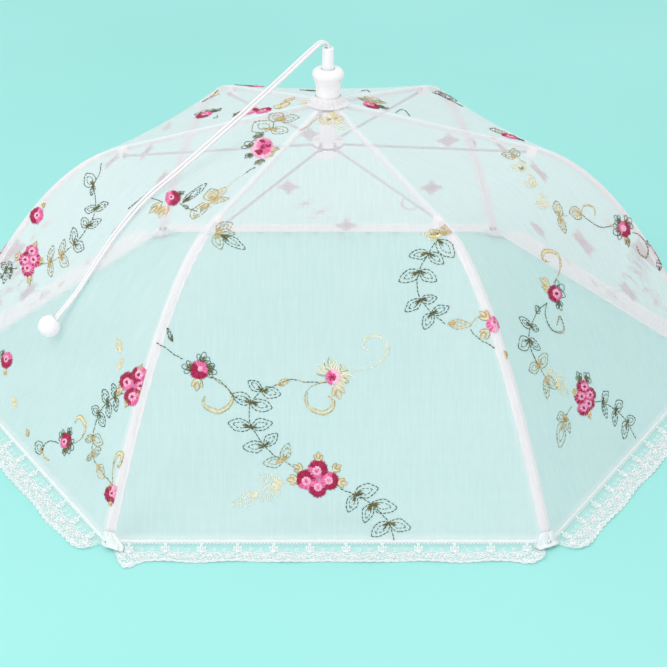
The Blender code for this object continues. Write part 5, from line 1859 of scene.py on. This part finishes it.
def steel_finish():
    bench = Finish("steel_ring")
    drawn = bench.noise(1400, detail=3.0)
    tone = bench.mix(drawn.ramp(0.3, 0.7), (0.62, 0.63, 0.64), (0.76, 0.76, 0.77))
    return bench.surface(
        Base_Color=tone,
        Metallic=drawn * 0.05 + 0.93,
        Roughness=drawn * 0.2 + 0.22,
        Normal=bench.bump(drawn, 0.04 * MM, 0.5),
    )


# Painted shade: the rib enamel is greyed, and the struts under the net get a darker grey copy of the
# same white enamel.
RIB_ENAMEL = enamel_finish("rib_enamel", (0.70, 0.71, 0.74), (0.82, 0.82, 0.85))
STRUT_ENAMEL_SHADED = enamel_finish("strut_enamel", (0.45, 0.49, 0.51), (0.56, 0.60, 0.62))
STEEL = steel_finish()
KEPT_FINISHES = {"rib": RIB_ENAMEL, "strut": STRUT_ENAMEL_SHADED, "crown_ring": STEEL, "runner_ring": STEEL}
for name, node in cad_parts.items():
    if node.hide_render:
        continue
    finish = KEPT_FINISHES.get(name.rstrip("_0123456789"), WHITE_PLASTIC)
    node.data.materials.clear()
    node.data.materials.append(finish)
    print("kept:", name, finish.name)

# %% [markdown]
# ## Floor and light
#
# The cover stands on a plain mint table top. The floor is one large plane whose
# own colour gives the pale background. The light that it sends back to the
# cover is nearly white, so that white parts stay white. Soft light from all
# round comes from the world, and one large lamp from the front left gives the
# shapes a little modelling. Seen directly, beyond the end of the floor, the
# world is mint too.

# %% Floor, world and lamp
FLOOR_SIZE = 24.0
LIGHT_STRENGTH = 0.88
LIGHT_COLOUR = (1.0, 1.0, 1.0)
MINT_BEYOND = (0.42, 0.93, 0.88)


def floor_finish():
    bench = Finish("mint_table")
    cloud = bench.noise(1.3, detail=2.0)
    grain = bench.noise(260, detail=3.0)
    seen = bench.node("ShaderNodeLightPath", output="Is Camera Ray")
    for other in ("Is Glossy Ray", "Is Transmission Ray"):
        seen = seen.largest(bench.node("ShaderNodeLightPath", output=other))
    tone = bench.mix(cloud.ramp(0.3, 0.7), (0.343, 0.805, 0.757), (0.378, 0.842, 0.795))
    tone = bench.mix(seen, (0.84, 0.88, 0.89), tone)
    return bench.surface(
        Base_Color=tone,
        Roughness=0.55 + grain * 0.1,
        Specular_IOR_Level=0.2,
        Normal=bench.bump(grain, 0.05 * MM, 0.2),
    )


floor_mesh = bpy.data.meshes.new("floor")
quarters = ((-1, -1), (1, -1), (1, 1), (-1, 1))
floor_corners = [(x * FLOOR_SIZE / 2, y * FLOOR_SIZE / 2, 0.0) for x, y in quarters]
floor_mesh.from_pydata(floor_corners, [], [(0, 1, 2, 3)])
floor = add_piece("floor", floor_mesh, floor_finish(), smooth=False)

world = bpy.data.worlds.new("soft_studio")
world.use_nodes = True
studio = Bench(world.node_tree)
seen = studio.node("ShaderNodeLightPath", output="Is Camera Ray")
sky = studio.mix(seen, LIGHT_COLOUR, MINT_BEYOND)
backdrop = studio.node("ShaderNodeBackground", None, {"Color": sky, "Strength": LIGHT_STRENGTH})
studio.node("ShaderNodeOutputWorld", None, {"Surface": backdrop})
bpy.context.scene.world = world

lamp_data = bpy.data.lights.new("soft_box", "AREA")
lamp_data.shape = "RECTANGLE"
lamp_data.size = 1.6
lamp_data.size_y = 1.2
lamp_data.energy = 18
lamp = bpy.data.objects.new("soft_box", lamp_data)
lamp.location = (-1.1, -1.3, 2.0)
lamp.rotation_euler = (Vector((0, 0, 0.1)) - lamp.location).to_track_quat("-Z", "Y").to_euler()
bpy.context.scene.collection.objects.link(lamp)
bpy.context.scene.view_settings.view_transform = "Standard"

# %% [markdown]
# ## Tie every piece to its body
#
# A piece that doesn't fold rides on one body. Cords and sheets also say how
# long or large they were cut, so that the check at the end can measure them.

# %% Rides, cords and sheets
for letter, strand in strands.items():
    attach(strand, "hub")
    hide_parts(f"pull_cord_{letter}")
    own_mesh(strand)
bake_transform(inner_cord)
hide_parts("inner_cord")
for piece, body, node, slot in (
    (knot, "runner_body", "inner_cord", "cord_white"),
    (bead, "bead_body", "bead", "white_plastic"),
    (knob, "hub", "knob", "white_plastic"),
    (stem, "runner_body", "plunger_stem", "white_plastic"),
):
    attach(piece, body)
    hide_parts(node)
for letter, strand in strands.items():
    path = strand_paths[letter]
